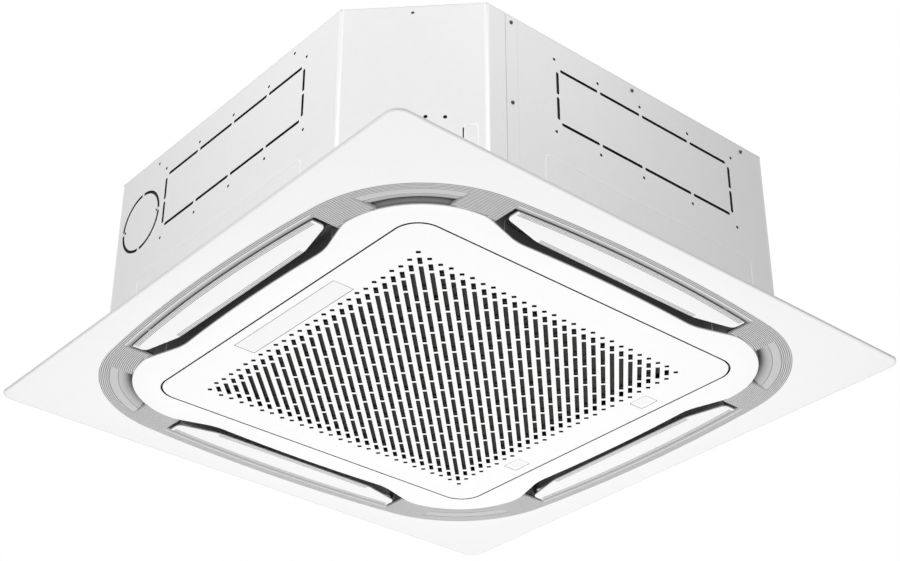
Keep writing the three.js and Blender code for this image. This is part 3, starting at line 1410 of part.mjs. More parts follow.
function floatSwitch() {
  const [x, y] = FLOAT;
  const top = PUMP_BOTTOM + 10;
  const stem = rod([x, y, FLOAT_BOTTOM], [x, y, top], FLOAT_STEM_R);
  const stop = rod([x, y, FLOAT_BOTTOM], [x, y, FLOAT_BOTTOM + 3], FLOAT_STOP_R);
  const head = rod([x, y, FLOAT_BOTTOM + 3 + FLOAT_H + FLOAT_TRAVEL + 4], [x, y, top], FLOAT_STOP_R);
  const wallX = CASE_HALF - SHEET_T * 2 - GAP * 2 - SIDE_FOAM_T - GAP;
  const bracket = block(x, wallX, y - 6, y + 6, top - 2, top);
  return union([stem, stop, head, bracket]);
}

function floatRing() {
  const [x, y] = FLOAT;
  const low = FLOAT_BOTTOM + 3 + GAP;
  const ring = rod([x, y, low], [x, y, low + FLOAT_H], FLOAT_R);
  return ring.subtract(rod([x, y, low - 1], [x, y, low + FLOAT_H + 1], FLOAT_STEM_R + GAP));
}

// ---------- control box ----------

const BOX_TOP = PAN_BOTTOM - GAP;

function controlBox() {
  const x = [-BOX_HALF_X, BOX_HALF_X];
  const shell = block(...x, ...BOX_Y, BOX_LOW, BOX_TOP);
  const hollowX = [x[0] + BOX_T, x[1] - BOX_T];
  const hollowY = [BOX_Y[0] + BOX_T, BOX_Y[1] - BOX_T];
  const hollow = block(...hollowX, ...hollowY, BOX_LOW - PAST, BOX_TOP - BOX_T);
  const posts = [];
  const postY = [BOX_Y[0] + POST_MARGIN, BOX_Y[1] - POST_MARGIN];
  for (const middle of [-BOX_HALF_X + POST_IN, BOX_HALF_X - TERMINAL_L - POST_IN]) {
    const postX = [middle - POST_W / 2, middle + POST_W / 2];
    posts.push(block(...postX, ...postY, BOX_TOP - BOARD_DROP, BOX_TOP - ROOT));
  }
  return union([shell.subtract(hollow), ...posts]);
}

function controlCover() {
  const top = BOX_LOW - GAP;
  return block(-BOX_HALF_X, BOX_HALF_X, ...BOX_Y, top - BOX_COVER_T, top);
}

function circuitBoard() {
  const top = BOX_TOP - BOARD_DROP - GAP;
  const margin = BOARD_MARGIN;
  const x = [-BOX_HALF_X + margin, BOX_HALF_X - margin - TERMINAL_L];
  const board = block(...x, BOX_Y[0] + margin, BOX_Y[1] - margin, top - BOARD_T, top);
  const parts = BOARD_PARTS.map(([from, length, width, height]) => {
    const partX = [x[0] + from, x[0] + from + length];
    const partY = [BOX_Y[0] + PART_MARGIN, BOX_Y[0] + PART_MARGIN + width];
    return block(...partX, ...partY, top - BOARD_T - height, top - BOARD_T + ROOT);
  });
  return union([board, ...parts]);
}

function terminalBlock() {
  const x = [BOX_HALF_X - BOX_T - GAP - TERMINAL_L + 4, BOX_HALF_X - BOX_T - GAP];
  const top = BOX_TOP - BOX_T - GAP;
  const base = block(...x, BOX_Y[0] + 5, BOX_Y[1] - 5, top - TERMINAL_H, top);
  const slots = [];
  for (let i = 1; i <= 4; i += 1) {
    const y = BOX_Y[0] + 5 + i * 5.4;
    slots.push(block(x[0] + 4, x[1] - 4, y - 1.6, y + 1.6, top - TERMINAL_H - 1, top - TERMINAL_H + 4));
  }
  return cut(base, slots);
}

// ---------- assembly ----------

const WHITE_PLASTIC = { color: 0xf3f3f2, roughness: 0.45, metalness: 0 };
const GREY_PLASTIC = { color: 0xbfc1c2, roughness: 0.5, metalness: 0 };
const DARK_PLASTIC = { color: 0x3a3a3c, roughness: 0.6, metalness: 0 };
const PAINTED_SHEET = { color: 0xdedfe0, roughness: 0.4, metalness: 0.3 };
const BARE_STEEL = { color: 0xb7babd, roughness: 0.35, metalness: 0.9 };
const FOAM = { color: 0xf6f6f4, roughness: 0.95, metalness: 0 };
const ALUMINIUM = { color: 0xc9cccf, roughness: 0.4, metalness: 0.9 };
const COPPER = { color: 0xb87348, roughness: 0.35, metalness: 0.95 };
const BRASS = { color: 0xc9a24f, roughness: 0.3, metalness: 0.95 };
const RUBBER = { color: 0x222222, roughness: 0.85, metalness: 0 };
const BOARD_GREEN = { color: 0x2f6b45, roughness: 0.6, metalness: 0 };

const cassette = new THREE.Group();

function add(name, body, finish) {
  const mesh = new THREE.Mesh(toGeometry(body), new THREE.MeshStandardMaterial(finish));
  mesh.name = name;
  cassette.add(mesh);
}

add('panel_frame', panelFrame(), WHITE_PLASTIC);
add('outlet_ring', outletRing(), GREY_PLASTIC);
for (const turn of QUARTERS) {
  const number = turn + 1;
  add(`corner_cover_${number}`, cornerCover(turn), GREY_PLASTIC);
  add(`flap_${number}`, flap(turn), WHITE_PLASTIC);
  add(`flap_motor_${number}`, flapMotor(turn), DARK_PLASTIC);
  add(`panel_screw_${number}`, panelScrew(turn), BARE_STEEL);
}

add('intake_grille', intakeGrille(), WHITE_PLASTIC);
add('window_plate', windowPlate(), WHITE_PLASTIC);
add('air_filter', airFilter(), DARK_PLASTIC);
[-1, 1].forEach((side, i) => {
  const number = i + 1;
  add(`hinge_hanger_${number}`, hingeHanger(side * HINGE_Y), BARE_STEEL);
  add(`latch_button_${number}`, latchButton(side * LATCH_Y), WHITE_PLASTIC);
  add(`latch_tongue_${number}`, latchTongue(side * LATCH_Y), DARK_PLASTIC);
  add(`latch_spring_${number}`, latchSpring(side * LATCH_Y), BARE_STEEL);
});

add('casing_sheet_left', casingSheet(false), PAINTED_SHEET);
add('casing_sheet_right', casingSheet(true).rotate([0, 0, 180]), PAINTED_SHEET);
add('top_plate', topPlate(), PAINTED_SHEET);
add('top_foam', topFoam(), FOAM);
add('side_foam', sideFoam(), FOAM);
add('drain_pan', drainPan(), FOAM);

add('bell_mouth', bellMouth(), DARK_PLASTIC);
add('turbo_fan', turboFan(), DARK_PLASTIC);
add('motor_shaft', motorShaft(), BARE_STEEL);
add('fan_nut', fanNut(), BRASS);
add('fan_motor', fanMotor(), BARE_STEEL);
for (let i = 0; i < FEET; i += 1) {
  add(`motor_foot_${i + 1}`, motorFoot(i), RUBBER);
}

add('coil', coil(), ALUMINIUM);
add('closing_plate', closingPlate(), BARE_STEEL);
add('gas_pipe', refrigerantPipe(-1, GAS_PIPE_R), COPPER);
add('liquid_pipe', refrigerantPipe(1, LIQUID_PIPE_R), COPPER);
add('gas_nut', flareNut(-1, GAS_PIPE_R), BRASS);
add('liquid_nut', flareNut(1, LIQUID_PIPE_R), BRASS);
add('pipe_plate', pipePlate(), PAINTED_SHEET);

add('drain_pump', drainPump(), WHITE_PLASTIC);
add('pump_impeller', pumpImpeller(), DARK_PLASTIC);
add('drain_pipe', drainPipe(), RUBBER);
add('drain_socket', drainSocket(), WHITE_PLASTIC);
add('float_switch', floatSwitch(), DARK_PLASTIC);
add('float_ring', floatRing(), WHITE_PLASTIC);

add('control_box', controlBox(), BARE_STEEL);
add('control_cover', controlCover(), BARE_STEEL);
add('circuit_board', circuitBoard(), BOARD_GREEN);
add('terminal_block', terminalBlock(), DARK_PLASTIC);

export default cassette;
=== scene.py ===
import functools
import math

import bmesh
import bpy
from mathutils import Matrix, Vector


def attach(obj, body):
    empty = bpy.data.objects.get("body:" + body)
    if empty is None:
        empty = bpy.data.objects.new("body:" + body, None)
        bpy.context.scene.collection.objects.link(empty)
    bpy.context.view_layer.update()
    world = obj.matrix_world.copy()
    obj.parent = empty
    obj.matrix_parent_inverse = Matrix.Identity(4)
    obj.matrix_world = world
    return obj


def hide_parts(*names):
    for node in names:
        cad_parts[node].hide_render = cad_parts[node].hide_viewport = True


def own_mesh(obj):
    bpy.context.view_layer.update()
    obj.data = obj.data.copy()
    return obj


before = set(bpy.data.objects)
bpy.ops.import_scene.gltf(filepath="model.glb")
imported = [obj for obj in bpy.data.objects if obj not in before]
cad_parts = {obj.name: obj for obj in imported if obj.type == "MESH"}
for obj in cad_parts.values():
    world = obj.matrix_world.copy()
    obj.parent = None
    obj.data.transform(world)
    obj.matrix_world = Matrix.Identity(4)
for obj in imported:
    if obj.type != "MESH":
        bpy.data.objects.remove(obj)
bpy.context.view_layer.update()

# Outlines and profiles are written in millimetres; meshes are made in metres.
MM = 0.001

# A face corner's painted light: above zero a share of painted shade, below zero a share of a painted
# highlight.
TONE = "gap_tone"
# Shares of painted shade in deep gaps, on groove floors and on side walls; painted highlights on edges
# and on the band's face.
DEEP_SHADE = 0.93
GROOVE_SHADE = 0.7
SIDE_SHADE = 0.75
EDGE_LIGHT = -0.9
BAND_HIGHLIGHT = -0.4

# ---------- sizes of the cassette ----------

PANEL_HALF, PANEL_CORNER_R = 475, 21
FACE_Z = -3
SKIRT_TOP = 15
WALL_T = 2.2

RING_APEX, RING_SIDE_R, RING_CORNER_R = 433.5, 2200, 201
RING_FACE_Z, RING_TOP_Z = -1.5, 1.5
RIB_PITCH, RIB_R = 2.95, 0.85
RIB_BAND = 15.5
RIB_OUT = -0.4
TROUGH_START, TROUGH_DEPTH, TROUGH_T = 11.9, 1.4, 0.9
OUTLET_EDGE, OUTLET_HALF = 19.5, 222
END_LINE = 197.5
COVER_START = 289
DISH_DEPTH = 8.6
SEAT = 0.3

BAND_APEX, BAND_SIDE_R = 352.5, 2600
BAND_CORNER_R, BAND_CORNER_C, BAND_CORNER_START = 135, 232.6, 86
BAND_RAMP = (167.5, 234.4)
BAND_RAMP_TILT, BAND_RAMP_FILLET = 17.2, 16

OPENING_HALF, OPENING_R, OPENING_STEP, OPENING_TOP = 311.0, 40, 2, 12
GRILLE_HALF, GRILLE_R, GRILLE_TOP = 308.4, 38.8, -0.5

FLAP_HALF, FLAP_EDGE, FLAP_INNER = 215, 21, 365
FLAP_STRAIGHT, FLAP_END_INNER = 149, 381
FLAP_Z = (-2.6, -0.4)
FLAP_AXIS = (380, 16)
FLAP_GROOVE_PITCH = 2.6

LATCH_X, LATCH_Y = 278, 142.5
HINGE_X, HINGE_Y, HINGE_Z = -305.5, 150, 0.8
WINDOW = (-293, -258, -117, 117)
PLATE_GAP = 0.6

CASE_HALF, CASE_LEG = 413.2, 139
CASE_FLAT = CASE_HALF - CASE_LEG
CASE_Z = (16, 302.5)
SHEET_T = 1.2
BEND_R = 9
BEND_BACK = BEND_R * math.tan(math.radians(22.5))
SEAM_AT = 241
ROOT = math.sqrt(0.5)


# ---------- outlines ----------

def arc(cx, cy, radius, start, end, steps):
    angles = [math.radians(start + (end - start) * i / steps) for i in range(steps + 1)]
    return [(cx + radius * math.cos(a), cy + radius * math.sin(a)) for a in angles]


def without_doubles(points, least=0.02):
    after = points[1:] + points[:1]
    return [p for p, q in zip(points, after) if math.dist(p, q) > least]


def quarter_turned(points, turns):
    c, s = ((1, 0), (0, 1), (-1, 0), (0, -1))[turns % 4]
    return [(x * c - y * s, x * s + y * c) for x, y in points]


def eightfold(half):
    """The outline whose eighth runs from the middle of the +Y side to the diagonal."""
    quarter = half + [(y, x) for x, y in reversed(half)]
    around = [p for turn in range(4) for p in quarter_turned(quarter, -turn)]
    return without_doubles(around[::-1])


def through_corner(half):
    """A line that ends on the diagonal, carried on by its own mirror image."""
    return half + [(y, x) for x, y in reversed(half)][1:]


def mirrored(outline):
    return [(-x, y) for x, y in reversed(outline)]


def grown(outline, distance):
    """Moves every point square to a counter-clockwise outline; above zero is outwards."""
    pushed = []
    for i, (x, y) in enumerate(outline):
        bx, by = outline[i - 1]
        ax, ay = outline[(i + 1) % len(outline)]
        dx, dy = ax - bx, ay - by
        length = math.hypot(dx, dy) or 1
        pushed.append((x + dy / length * distance, y - dx / length * distance))
    return pushed


def rounded_square(half, radius, steps=10):
    return eightfold([(0, half)] + arc(half - radius, half - radius, radius, 90, 45, steps))


def rounded_rectangle(x0, x1, y0, y1, r, steps=5):
    centres = ((x1 - r, y1 - r), (x0 + r, y1 - r), (x0 + r, y0 + r), (x1 - r, y0 + r))
    return [p for i, c in enumerate(centres) for p in arc(*c, r, 90 * i, 90 * i + 90, steps)]


def circle(cx, cy, radius, steps=24):
    return arc(cx, cy, radius, 0, 360, steps)[:-1]


def hexagon(radius):
    angles = [math.tau * i / 6 for i in range(6)]
    return [(radius * math.cos(a), radius * math.sin(a)) for a in angles]


def octagon(half, leg):
    return eightfold([(0, half), (half - leg, half)])


SIDE_CENTRE = RING_APEX - RING_SIDE_R
SPAN = RING_SIDE_R - RING_CORNER_R
CORNER_C = (SIDE_CENTRE + math.sqrt(2 * SPAN ** 2 - SIDE_CENTRE ** 2)) / 2
JOIN = math.degrees(math.atan2(CORNER_C, CORNER_C - SIDE_CENTRE))


def ring_half(inset, steps=14):
    side = arc(0, SIDE_CENTRE, RING_SIDE_R - inset, 90, 90 - JOIN, steps)
    return side + arc(CORNER_C, CORNER_C, RING_CORNER_R - inset, 90 - JOIN, 45, steps)[1:]


def ring_outline(inset):
    return eightfold(ring_half(inset))


def ring_edge(x, inset):
    return SIDE_CENTRE + math.sqrt((RING_SIDE_R - inset) ** 2 - x * x)


def bezier(a, b, c, steps):
    points = []
    for i in range(steps + 1):
        t = i / steps
        u = 1 - t
        points.append(tuple(u * u * p + 2 * u * t * q + t * t * r for p, q, r in zip(a, b, c)))
    return points


def towards(a, b, distance):
    length = math.dist(a, b)
    return (a[0] + (b[0] - a[0]) * distance / length, a[1] + (b[1] - a[1]) * distance / length)


def band_half():
    def edge(x):
        return BAND_APEX - BAND_SIDE_R + math.sqrt(BAND_SIDE_R ** 2 - x * x)

    foot = (BAND_RAMP[0], edge(BAND_RAMP[0]))
    rise = (BAND_RAMP[1] - BAND_RAMP[0]) * math.tan(math.radians(BAND_RAMP_TILT))
    head = (BAND_RAMP[1], foot[1] + rise)
    corner = arc(BAND_CORNER_C, BAND_CORNER_C, BAND_CORNER_R, BAND_CORNER_START, 45, 14)
    end = BAND_RAMP[0] - BAND_RAMP_FILLET
    side = [(end * i / 8, edge(end * i / 8)) for i in range(9)]
    low = bezier(side[-1], foot, towards(foot, head, BAND_RAMP_FILLET), 7)
    high = bezier(towards(head, foot, BAND_RAMP_FILLET), head, corner[0], 7)
    return side + low[1:] + high + corner[1:]


BAND = eightfold(band_half())


def height_at(half, x):
    """The outline's y at x, on the eighth that starts in the middle of the +Y side."""
    for (x0, y0), (x1, y1) in zip(half, half[1:]):
        if x0 - 1e-6 <= x <= x1 and x1 > x0:
            return y0 + (y1 - y0) * (x - x0) / (x1 - x0)
    return half[-1][1]


def beyond(half, start):
    """An eighth's points past x, with one put in at x itself."""
    return [(start, height_at(half, start))] + [p for p in half if p[0] > start]


def clipped(half, x0, x1):
    inside = [(x, y) for x, y in half if x0 < x < x1]
    return [(x0, height_at(half, x0))] + inside + [(x1, height_at(half, x1))]


def level_on(profile, at):
    """The height on a profile of (place, height), straight between its points."""
    for (r0, z0), (r1, z1) in zip(profile, profile[1:]):
        if at <= r1:
            t = max(0.0, (at - r0) / (r1 - r0))
            return z0 + (z1 - z0) * t
    return profile[-1][1]


# ---------- meshes: a patch is points, faces and sometimes its face corners' tones ----------

def skin(rows):
    """Quads between closed rows of points, all rows of one length."""
    count = len(rows[0])
    faces = []
    for row in range(len(rows) - 1):
        for i in range(count):
            j = (i + 1) % count
            a, b = row * count, (row + 1) * count
            faces.append((a + i, a + j, b + j, b + i))
    return [p for row in rows for p in row], faces


def capped_skin(rows):
    points, faces = skin(rows)
    count = len(rows[0])
    ends = [tuple(range(count)), tuple(range(len(points) - count, len(points)))]
    return points, faces + ends


def swept(outline, profile):
    """Quads along a closed outline; profile is a list of (distance outwards, z)."""
    return skin([[(x, y, z) for x, y in grown(outline, distance)] for distance, z in profile])


def rounded_edge(z_face, radius, outwards=1, steps=3):
    """Profile of a moulded edge from the face to the wall: distance from the outline and z."""
    angles = [math.pi / 2 * i / steps for i in range(steps + 1)]
    return [
        (-outwards * radius * (1 - math.sin(a)), z_face + radius * (1 - math.cos(a))) for a in angles
    ]


def lathe(profile, sides=96, closed=True):
    """A profile of (radius, z) turned about Z; a radius of 0 makes a pole."""
    rows = profile + ([profile[0]] if closed else [])
    turns = [2 * math.pi * i / sides for i in range(sides)]
    points, faces, starts = [], [], []
    for radius, z in profile:
        starts.append(len(points))
        points += [(radius * math.cos(a), radius * math.sin(a), z) for a in (turns if radius else [0])]
    for row in range(len(rows) - 1):
        r0, r1 = rows[row][0], rows[row + 1][0]
        a, b = starts[row], starts[(row + 1) % len(profile)]
        for i in range(sides if r0 or r1 else 0):
            j = (i + 1) % sides
            if r0 == 0:
                faces.append((a, b + j, b + i))
            elif r1 == 0:
                faces.append((a + i, a + j, b))
            else:
                faces.append((a + i, a + j, b + j, b + i))
    return points, faces


def box_patch(x0, x1, y0, y1, z0, z1):
    foot = [(x0, y0), (x1, y0), (x1, y1), (x0, y1)]
    points = [(x, y, z) for z in (z0, z1) for x, y in foot]
    sides = [(i, (i + 1) % 4, (i + 1) % 4 + 4, i + 4) for i in range(4)]
    return points, [(3, 2, 1, 0), (4, 5, 6, 7)] + sides


def grid_shell(rows, thickness):
    """A grid of points given a thickness upwards and closed around its edge."""
    height, width = len(rows), len(rows[0])
    points = [p for row in rows for p in row]
    points += [(x, y, z + thickness) for x, y, z in points]
    base = height * width
    faces = []
    for r in range(height - 1):
        for c in range(width - 1):
            a = r * width + c
            quad = (a, a + 1, a + width + 1, a + width)
            faces += [quad, tuple(base + i for i in reversed(quad))]
    rim = list(range(width)) + [r * width + width - 1 for r in range(1, height)]
    rim += [(height - 1) * width + c for c in range(width - 2, -1, -1)]
    rim += [r * width for r in range(height - 2, 0, -1)]
    for a, b in zip(rim, rim[1:] + rim[:1]):
        faces.append((a, b, base + b, base + a))
    return points, faces


def shaded(piece, tone):
    """Gives a patch its painted light, shade above zero and highlight below, even or by position."""
    points, faces = piece[:2]
    at = tone if callable(tone) else (lambda x, y, z: tone)
    return points, faces, [tuple(at(*points[i]) for i in face) for face in faces]


def joined(patches):
    points, faces, tones = [], [], []
    for some_points, some_faces, *some_tones in patches:
        start = len(points)
        points += some_points
        faces += [tuple(start + i for i in face) for face in some_faces]
        tones += some_tones[0] if some_tones else [(0.0,) * len(face) for face in some_faces]
    return points, faces, tones


def turned(piece, matrix):
    return [tuple(matrix @ Vector(p)) for p in piece[0]], *piece[1:]


def turned_about(piece, axis, degrees):
    return turned(piece, Matrix.Rotation(math.radians(degrees), 4, axis))


def about_z(piece, degrees):
    return turned_about(piece, "Z", degrees)


def on_four_sides(piece):
    return [about_z(piece, 90 * turn) for turn in range(4)]


def moved(piece, x=0, y=0, z=0):
    return [(a + x, b + y, c + z) for a, b, c in piece[0]], *piece[1:]


def upright(piece, x):
    """Stands a flat patch up: its x runs along Y, its y goes up and its z runs along X from x."""
    return moved(turned(piece, Matrix(((0, 0, 1, 0), (1, 0, 0, 0), (0, 1, 0, 0), (0, 0, 0, 1)))), x=x)


def lying_along_x(piece, x, y, z):
    """A lathe made about Z laid along X from x."""
    return moved(turned_about(piece, "Y", 90), x, y, z)


def wires(name, lines, closed=True):
    """A mesh of edges only, one chain of points for each line, in metres."""
    points, edges = [], []
    for line in lines:
        start = len(points)
        points += [Vector(p if len(p) == 3 else (*p, 0)) * MM for p in line]
        last = start + len(line) - 1
        edges += [(i, i + 1) for i in range(start, last)] + ([(last, start)] if closed else [])
    mesh = bpy.data.meshes.new(name)
    mesh.from_pydata(points, edges, [])
    return mesh


def arrays_of(mesh):
    """A mesh read back as a patch in millimetres."""
    points = [tuple(v.co / MM) for v in mesh.vertices]
    faces = [tuple(p.vertices) for p in mesh.polygons]
    stored = mesh.attributes[TONE].data if TONE in mesh.attributes else None
    tones = [(stored[i].value if stored else 0.0,) * len(face) for i, face in enumerate(faces)]
    bpy.data.meshes.remove(mesh)
    return points, faces, tones


# ---------- node trees that make geometry ----------

class Nodes:
    """Adds nodes to a tree from left to right.

    A keyword with a capital is an input and one without is a setting of the node. A node given as an
    input stands for its first output, and a list of nodes is linked in its order."""

    def __init__(self, tree):
        self.tree = tree
        self.entry = None

    def add(self, kind, numbered=None, **keys):
        node = self.tree.nodes.new(kind)
        node.location = (180 * len(self.tree.nodes), 0)
        inputs = dict(numbered or {})
        for key, value in keys.items():
            if key[0].isupper():
                inputs[key.replace("_", " ")] = value
            else:
                setattr(node, key, value)
        for key, value in inputs.items():
            for source in value if isinstance(value, list) else [value]:
                if isinstance(source, bpy.types.Node):
                    source = source.outputs[0]
                if isinstance(source, bpy.types.NodeSocket):
                    self.tree.links.new(source, node.inputs[key])
                else:
                    node.inputs[key].default_value = source
        return node

    def geo(self, kind, **keys):
        return self.add("GeometryNode" + kind, **keys)

    def given(self, name):
        """One of the tree's own inputs."""
        self.entry = self.entry or self.add("NodeGroupInput")
        return self.entry.outputs[name]

    def vector(self, **keys):
        return self.add("ShaderNodeCombineXYZ", **keys)

    def math(self, operation, a, b):
        return self.add("ShaderNodeMath", {0: a, 1: b}, operation=operation)

    def attribute(self, name, kind):
        return self.geo("InputNamedAttribute", Name=name, data_type=kind)

    def curves(self, source=None):
        return self.geo("MeshToCurve", Mesh=source or self.given("Wires"))

    def copies(self, points, part, rotation, **keys):
        return self.geo("InstanceOnPoints", Points=points, Instance=part, Rotation=rotation, **keys)

    def thickened(self, fill, tone=None):
        """A filled face given the tree's Thickness upwards, with painted shade on its side walls."""
        up = self.vector(Z=self.given("Thickness"))
        top = self.geo("ExtrudeMesh", Mesh=fill, Offset=up, Individual=False)
        walls = top if tone is None else self.geo(
            "StoreNamedAttribute", Geometry=top, Selection=top.outputs["Side"], Name=TONE, Value=tone,
            data_type="FLOAT", domain="FACE",
        )
        both = self.geo("JoinGeometry", Geometry=[walls, self.geo("FlipFaces", Mesh=fill)])
        return self.geo("MergeByDistance", Geometry=both, Distance=2e-6)

    def finished(self, geometry):
        """Ends a tree with real geometry in its material."""
        real = self.geo("RealizeInstances", Geometry=geometry)
        painted = self.geo("SetMaterial", Geometry=real, Material=self.given("Material"))
        self.add("NodeGroupOutput", Piece=painted)
        return self.tree


def shape_tree(name, **inputs):
    tree = bpy.data.node_groups.new(name, "GeometryNodeTree")
    for label, kind in {"Wires": "Geometry", **inputs, "Material": "Material"}.items():
        tree.interface.new_socket(
            label.replace("_", " "), in_out="INPUT", socket_type="NodeSocket" + kind
        )
    tree.interface.new_socket("Piece", in_out="OUTPUT", socket_type="NodeSocketGeometry")
    return Nodes(tree)


def flat_fill_tree():
    make = shape_tree("flat_fill")
    return make.finished(make.geo("FillCurve", Curve=make.curves()))


def filled_plate_tree():
    """Closed wires are filled, holes left open, and given a thickness upwards."""
    make = shape_tree("filled_plate", Thickness="Float")
    return make.finished(make.thickened(make.geo("FillCurve", Curve=make.curves())))


def slotted_plate_tree():
    """Closed wires filled to a plate; every loose point cuts a slot of its own length. The side walls
    get painted shade of the given Tone.
    """
    make = shape_tree(
        "slotted_plate", Thickness="Float", Slot_Width="Float", Slot_Corner="Float", Slot_Angle="Float",
        Tone="Float",
    )
    length = make.attribute("slot_length", "FLOAT")
    is_slot = make.add("FunctionNodeCompare", {0: length, 1: 0.0}, operation="GREATER_THAN")
    parts = make.geo("SeparateGeometry", Geometry=make.given("Wires"), Selection=is_slot)
    outline = make.curves(parts.outputs[1])
    unit = make.geo("CurvePrimitiveQuadrilateral", Width=1.0, Height=1.0)
    size = make.vector(X=length, Y=make.given("Slot Width"), Z=1.0)
    turn = make.vector(Z=make.given("Slot Angle"))
    slots = make.copies(make.geo("MeshToPoints", Mesh=parts), unit, turn, Scale=size)
    soft = make.geo(
        "FilletCurve", Curve=make.geo("RealizeInstances", Geometry=slots), Count=2,
        Radius=make.given("Slot Corner"), mode="POLY",
    )
    loops = make.geo("JoinGeometry", Geometry=[outline, soft])
    return make.finished(make.thickened(make.geo("FillCurve", Curve=loops), make.given("Tone")))


def rib_tree():
    """A round ridge or tube along every wire."""
    make = shape_tree("ribs_along_wires", Radius="Float", Sides="Int")
    section = make.geo(
        "CurvePrimitiveCircle", Resolution=make.given("Sides"), Radius=make.given("Radius")
    )
    keys = {"Curve": make.curves(), "Profile_Curve": section, "Fill_Caps": True}
    return make.finished(make.geo("CurveToMesh", **keys))


def placed_copies_tree():
    """A copy of a small part on every point, its Z axis along the point's facing."""
    make = shape_tree("placed_copies", Part="Object")
    facing = make.attribute("facing", "FLOAT_VECTOR")
    turn = make.add("FunctionNodeAlignRotationToVector", Vector=facing, axis="Z")
    part = make.geo("ObjectInfo", Object=make.given("Part")).outputs["Geometry"]
    return make.finished(make.copies(make.given("Wires"), part, turn))


def fins_tree():
    """Upright fins along a wire, square to it."""
    make = shape_tree(
        "fins_along_wire", Pitch="Float", Depth="Float", Height="Float", Thickness="Float"
    )
    points = make.geo("CurveToPoints", Curve=make.curves(), Length=make.given("Pitch"), mode="LENGTH")
    turn = make.add("FunctionNodeAlignRotationToVector", Vector=points.outputs["Tangent"], axis="X")
    size = make.vector(X=make.given("Thickness"), Y=make.given("Depth"), Z=make.given("Height"))
    return make.finished(make.copies(points, make.geo("MeshCube", Size=size), turn))


def blades_tree():
    """Copies of one blade turned about the fan's axis."""
    make = shape_tree("blades_around_axis", Count="Int")
    spots = make.geo("MeshLine", Count=make.given("Count"), Offset=(0, 0, 0))
    step = make.math("DIVIDE", math.tau, make.given("Count"))
    angle = make.math("MULTIPLY", make.geo("InputIndex"), step)
    return make.finished(make.copies(spots, make.given("Wires"), make.vector(Z=angle)))


@functools.cache
def built(maker):
    """Every tree is made once, at its first use."""
    return maker()


def made_by(tree_maker, source, **values):
    """The plain mesh that a node tree makes from a source mesh."""
    tree = built(tree_maker)
    carrier = bpy.data.objects.new("carrier", source)
    bpy.context.scene.collection.objects.link(carrier)
    modifier = carrier.modifiers.new("shape", "NODES")
    modifier.node_group = tree
    for item in tree.interface.items_tree:
        key = item.name.replace(" ", "_")
        if item.item_type == "SOCKET" and item.in_out == "INPUT" and key in values:
            modifier[item.identifier] = values[key]
    graph = bpy.context.evaluated_depsgraph_get()
    mesh = bpy.data.meshes.new_from_object(carrier.evaluated_get(graph), depsgraph=graph)
    bpy.data.objects.remove(carrier)
    return mesh


def filled(loops, z):
    points, faces, _ = arrays_of(made_by(flat_fill_tree, wires("loops", loops)))
    return [(x, y, z) for x, y, _ in points], faces


def plate(loops, z0, z1):
    piece = arrays_of(made_by(filled_plate_tree, wires("loops", loops), Thickness=(z1 - z0) * MM))
    return moved(piece, z=z0)


def groove(loops, z, tone=GROOVE_SHADE):
    """A thin floor between ribs that stand on a face at z, darkened with painted shade."""
    return shaded(plate(loops, z - 0.03, z + 0.1), tone)


def ribs(lines, radius, closed=False, sides=8):
    return arrays_of(made_by(rib_tree, wires("ribs", lines, closed), Radius=radius * MM, Sides=sides))


def closed_mesh(name, patches, merge):
    points, faces, tones = joined(patches)
    mesh = bpy.data.meshes.new(name)
    mesh.from_pydata([Vector(p) * MM for p in points], [], faces)
    shape = bmesh.new()
    shape.from_mesh(mesh)
    layer = shape.loops.layers.float.new(TONE)
    for face, corner_tones in zip(shape.faces, tones):
        for corner, tone in zip(face.loops, corner_tones):
            corner[layer] = tone
    bmesh.ops.remove_doubles(shape, verts=shape.verts, dist=merge * MM)
    bmesh.ops.recalc_face_normals(shape, faces=shape.faces)
    shape.to_mesh(mesh)
    shape.free()
    return mesh


def settle(name, mesh, material, replaced=None, body="base", smooth=32):
    """Makes a piece of a mesh, which rides on a body and may stand in for a node."""
    mesh.materials.clear()
    mesh.materials.append(material)
    mesh.polygons.foreach_set("material_index", [0] * len(mesh.polygons))
    mesh.polygons.foreach_set("use_smooth", [True] * len(mesh.polygons))
    mesh.set_sharp_from_angle(angle=math.radians(smooth))
    mesh.update()
    piece = bpy.data.objects.new(name, mesh)
    bpy.context.scene.collection.objects.link(piece)
    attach(piece, body)
    if replaced:
        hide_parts(replaced)
    return piece


def piece_from(name, patches, material, replaced, body="base", smooth=32, merge=0.004):
    """One finished piece: patches joined, doubles merged, faces turned outwards."""
    return settle(name, closed_mesh(name, patches, merge), material, replaced, body, smooth)


def four_pieces(name, patches, material, replaced, body="base", smooth=32):
    """The same piece on every side of the panel, numbered from the +Y side on."""
    for number in range(1, 5):
        placed = [about_z(p, 90 * (number - 1)) for p in patches]
        rides_on = body if body == "base" else f"{body}_{number}"
        piece_from(
            f"{name}_{number}", placed, material, f"{replaced}_{number}", rides_on, smooth
        )


# ---------- finishes ----------

# Colours of painted shade and of painted highlights, and the share of them at a face corner.
PAINTED_LIGHT_INPUTS = {
    "Gap_Colour": (0.03, 0.024, 0.022, 1),
    "Edge_Colour": (0.98, 0.98, 0.98, 1),
    "Gap_Tone": 0.0,
}


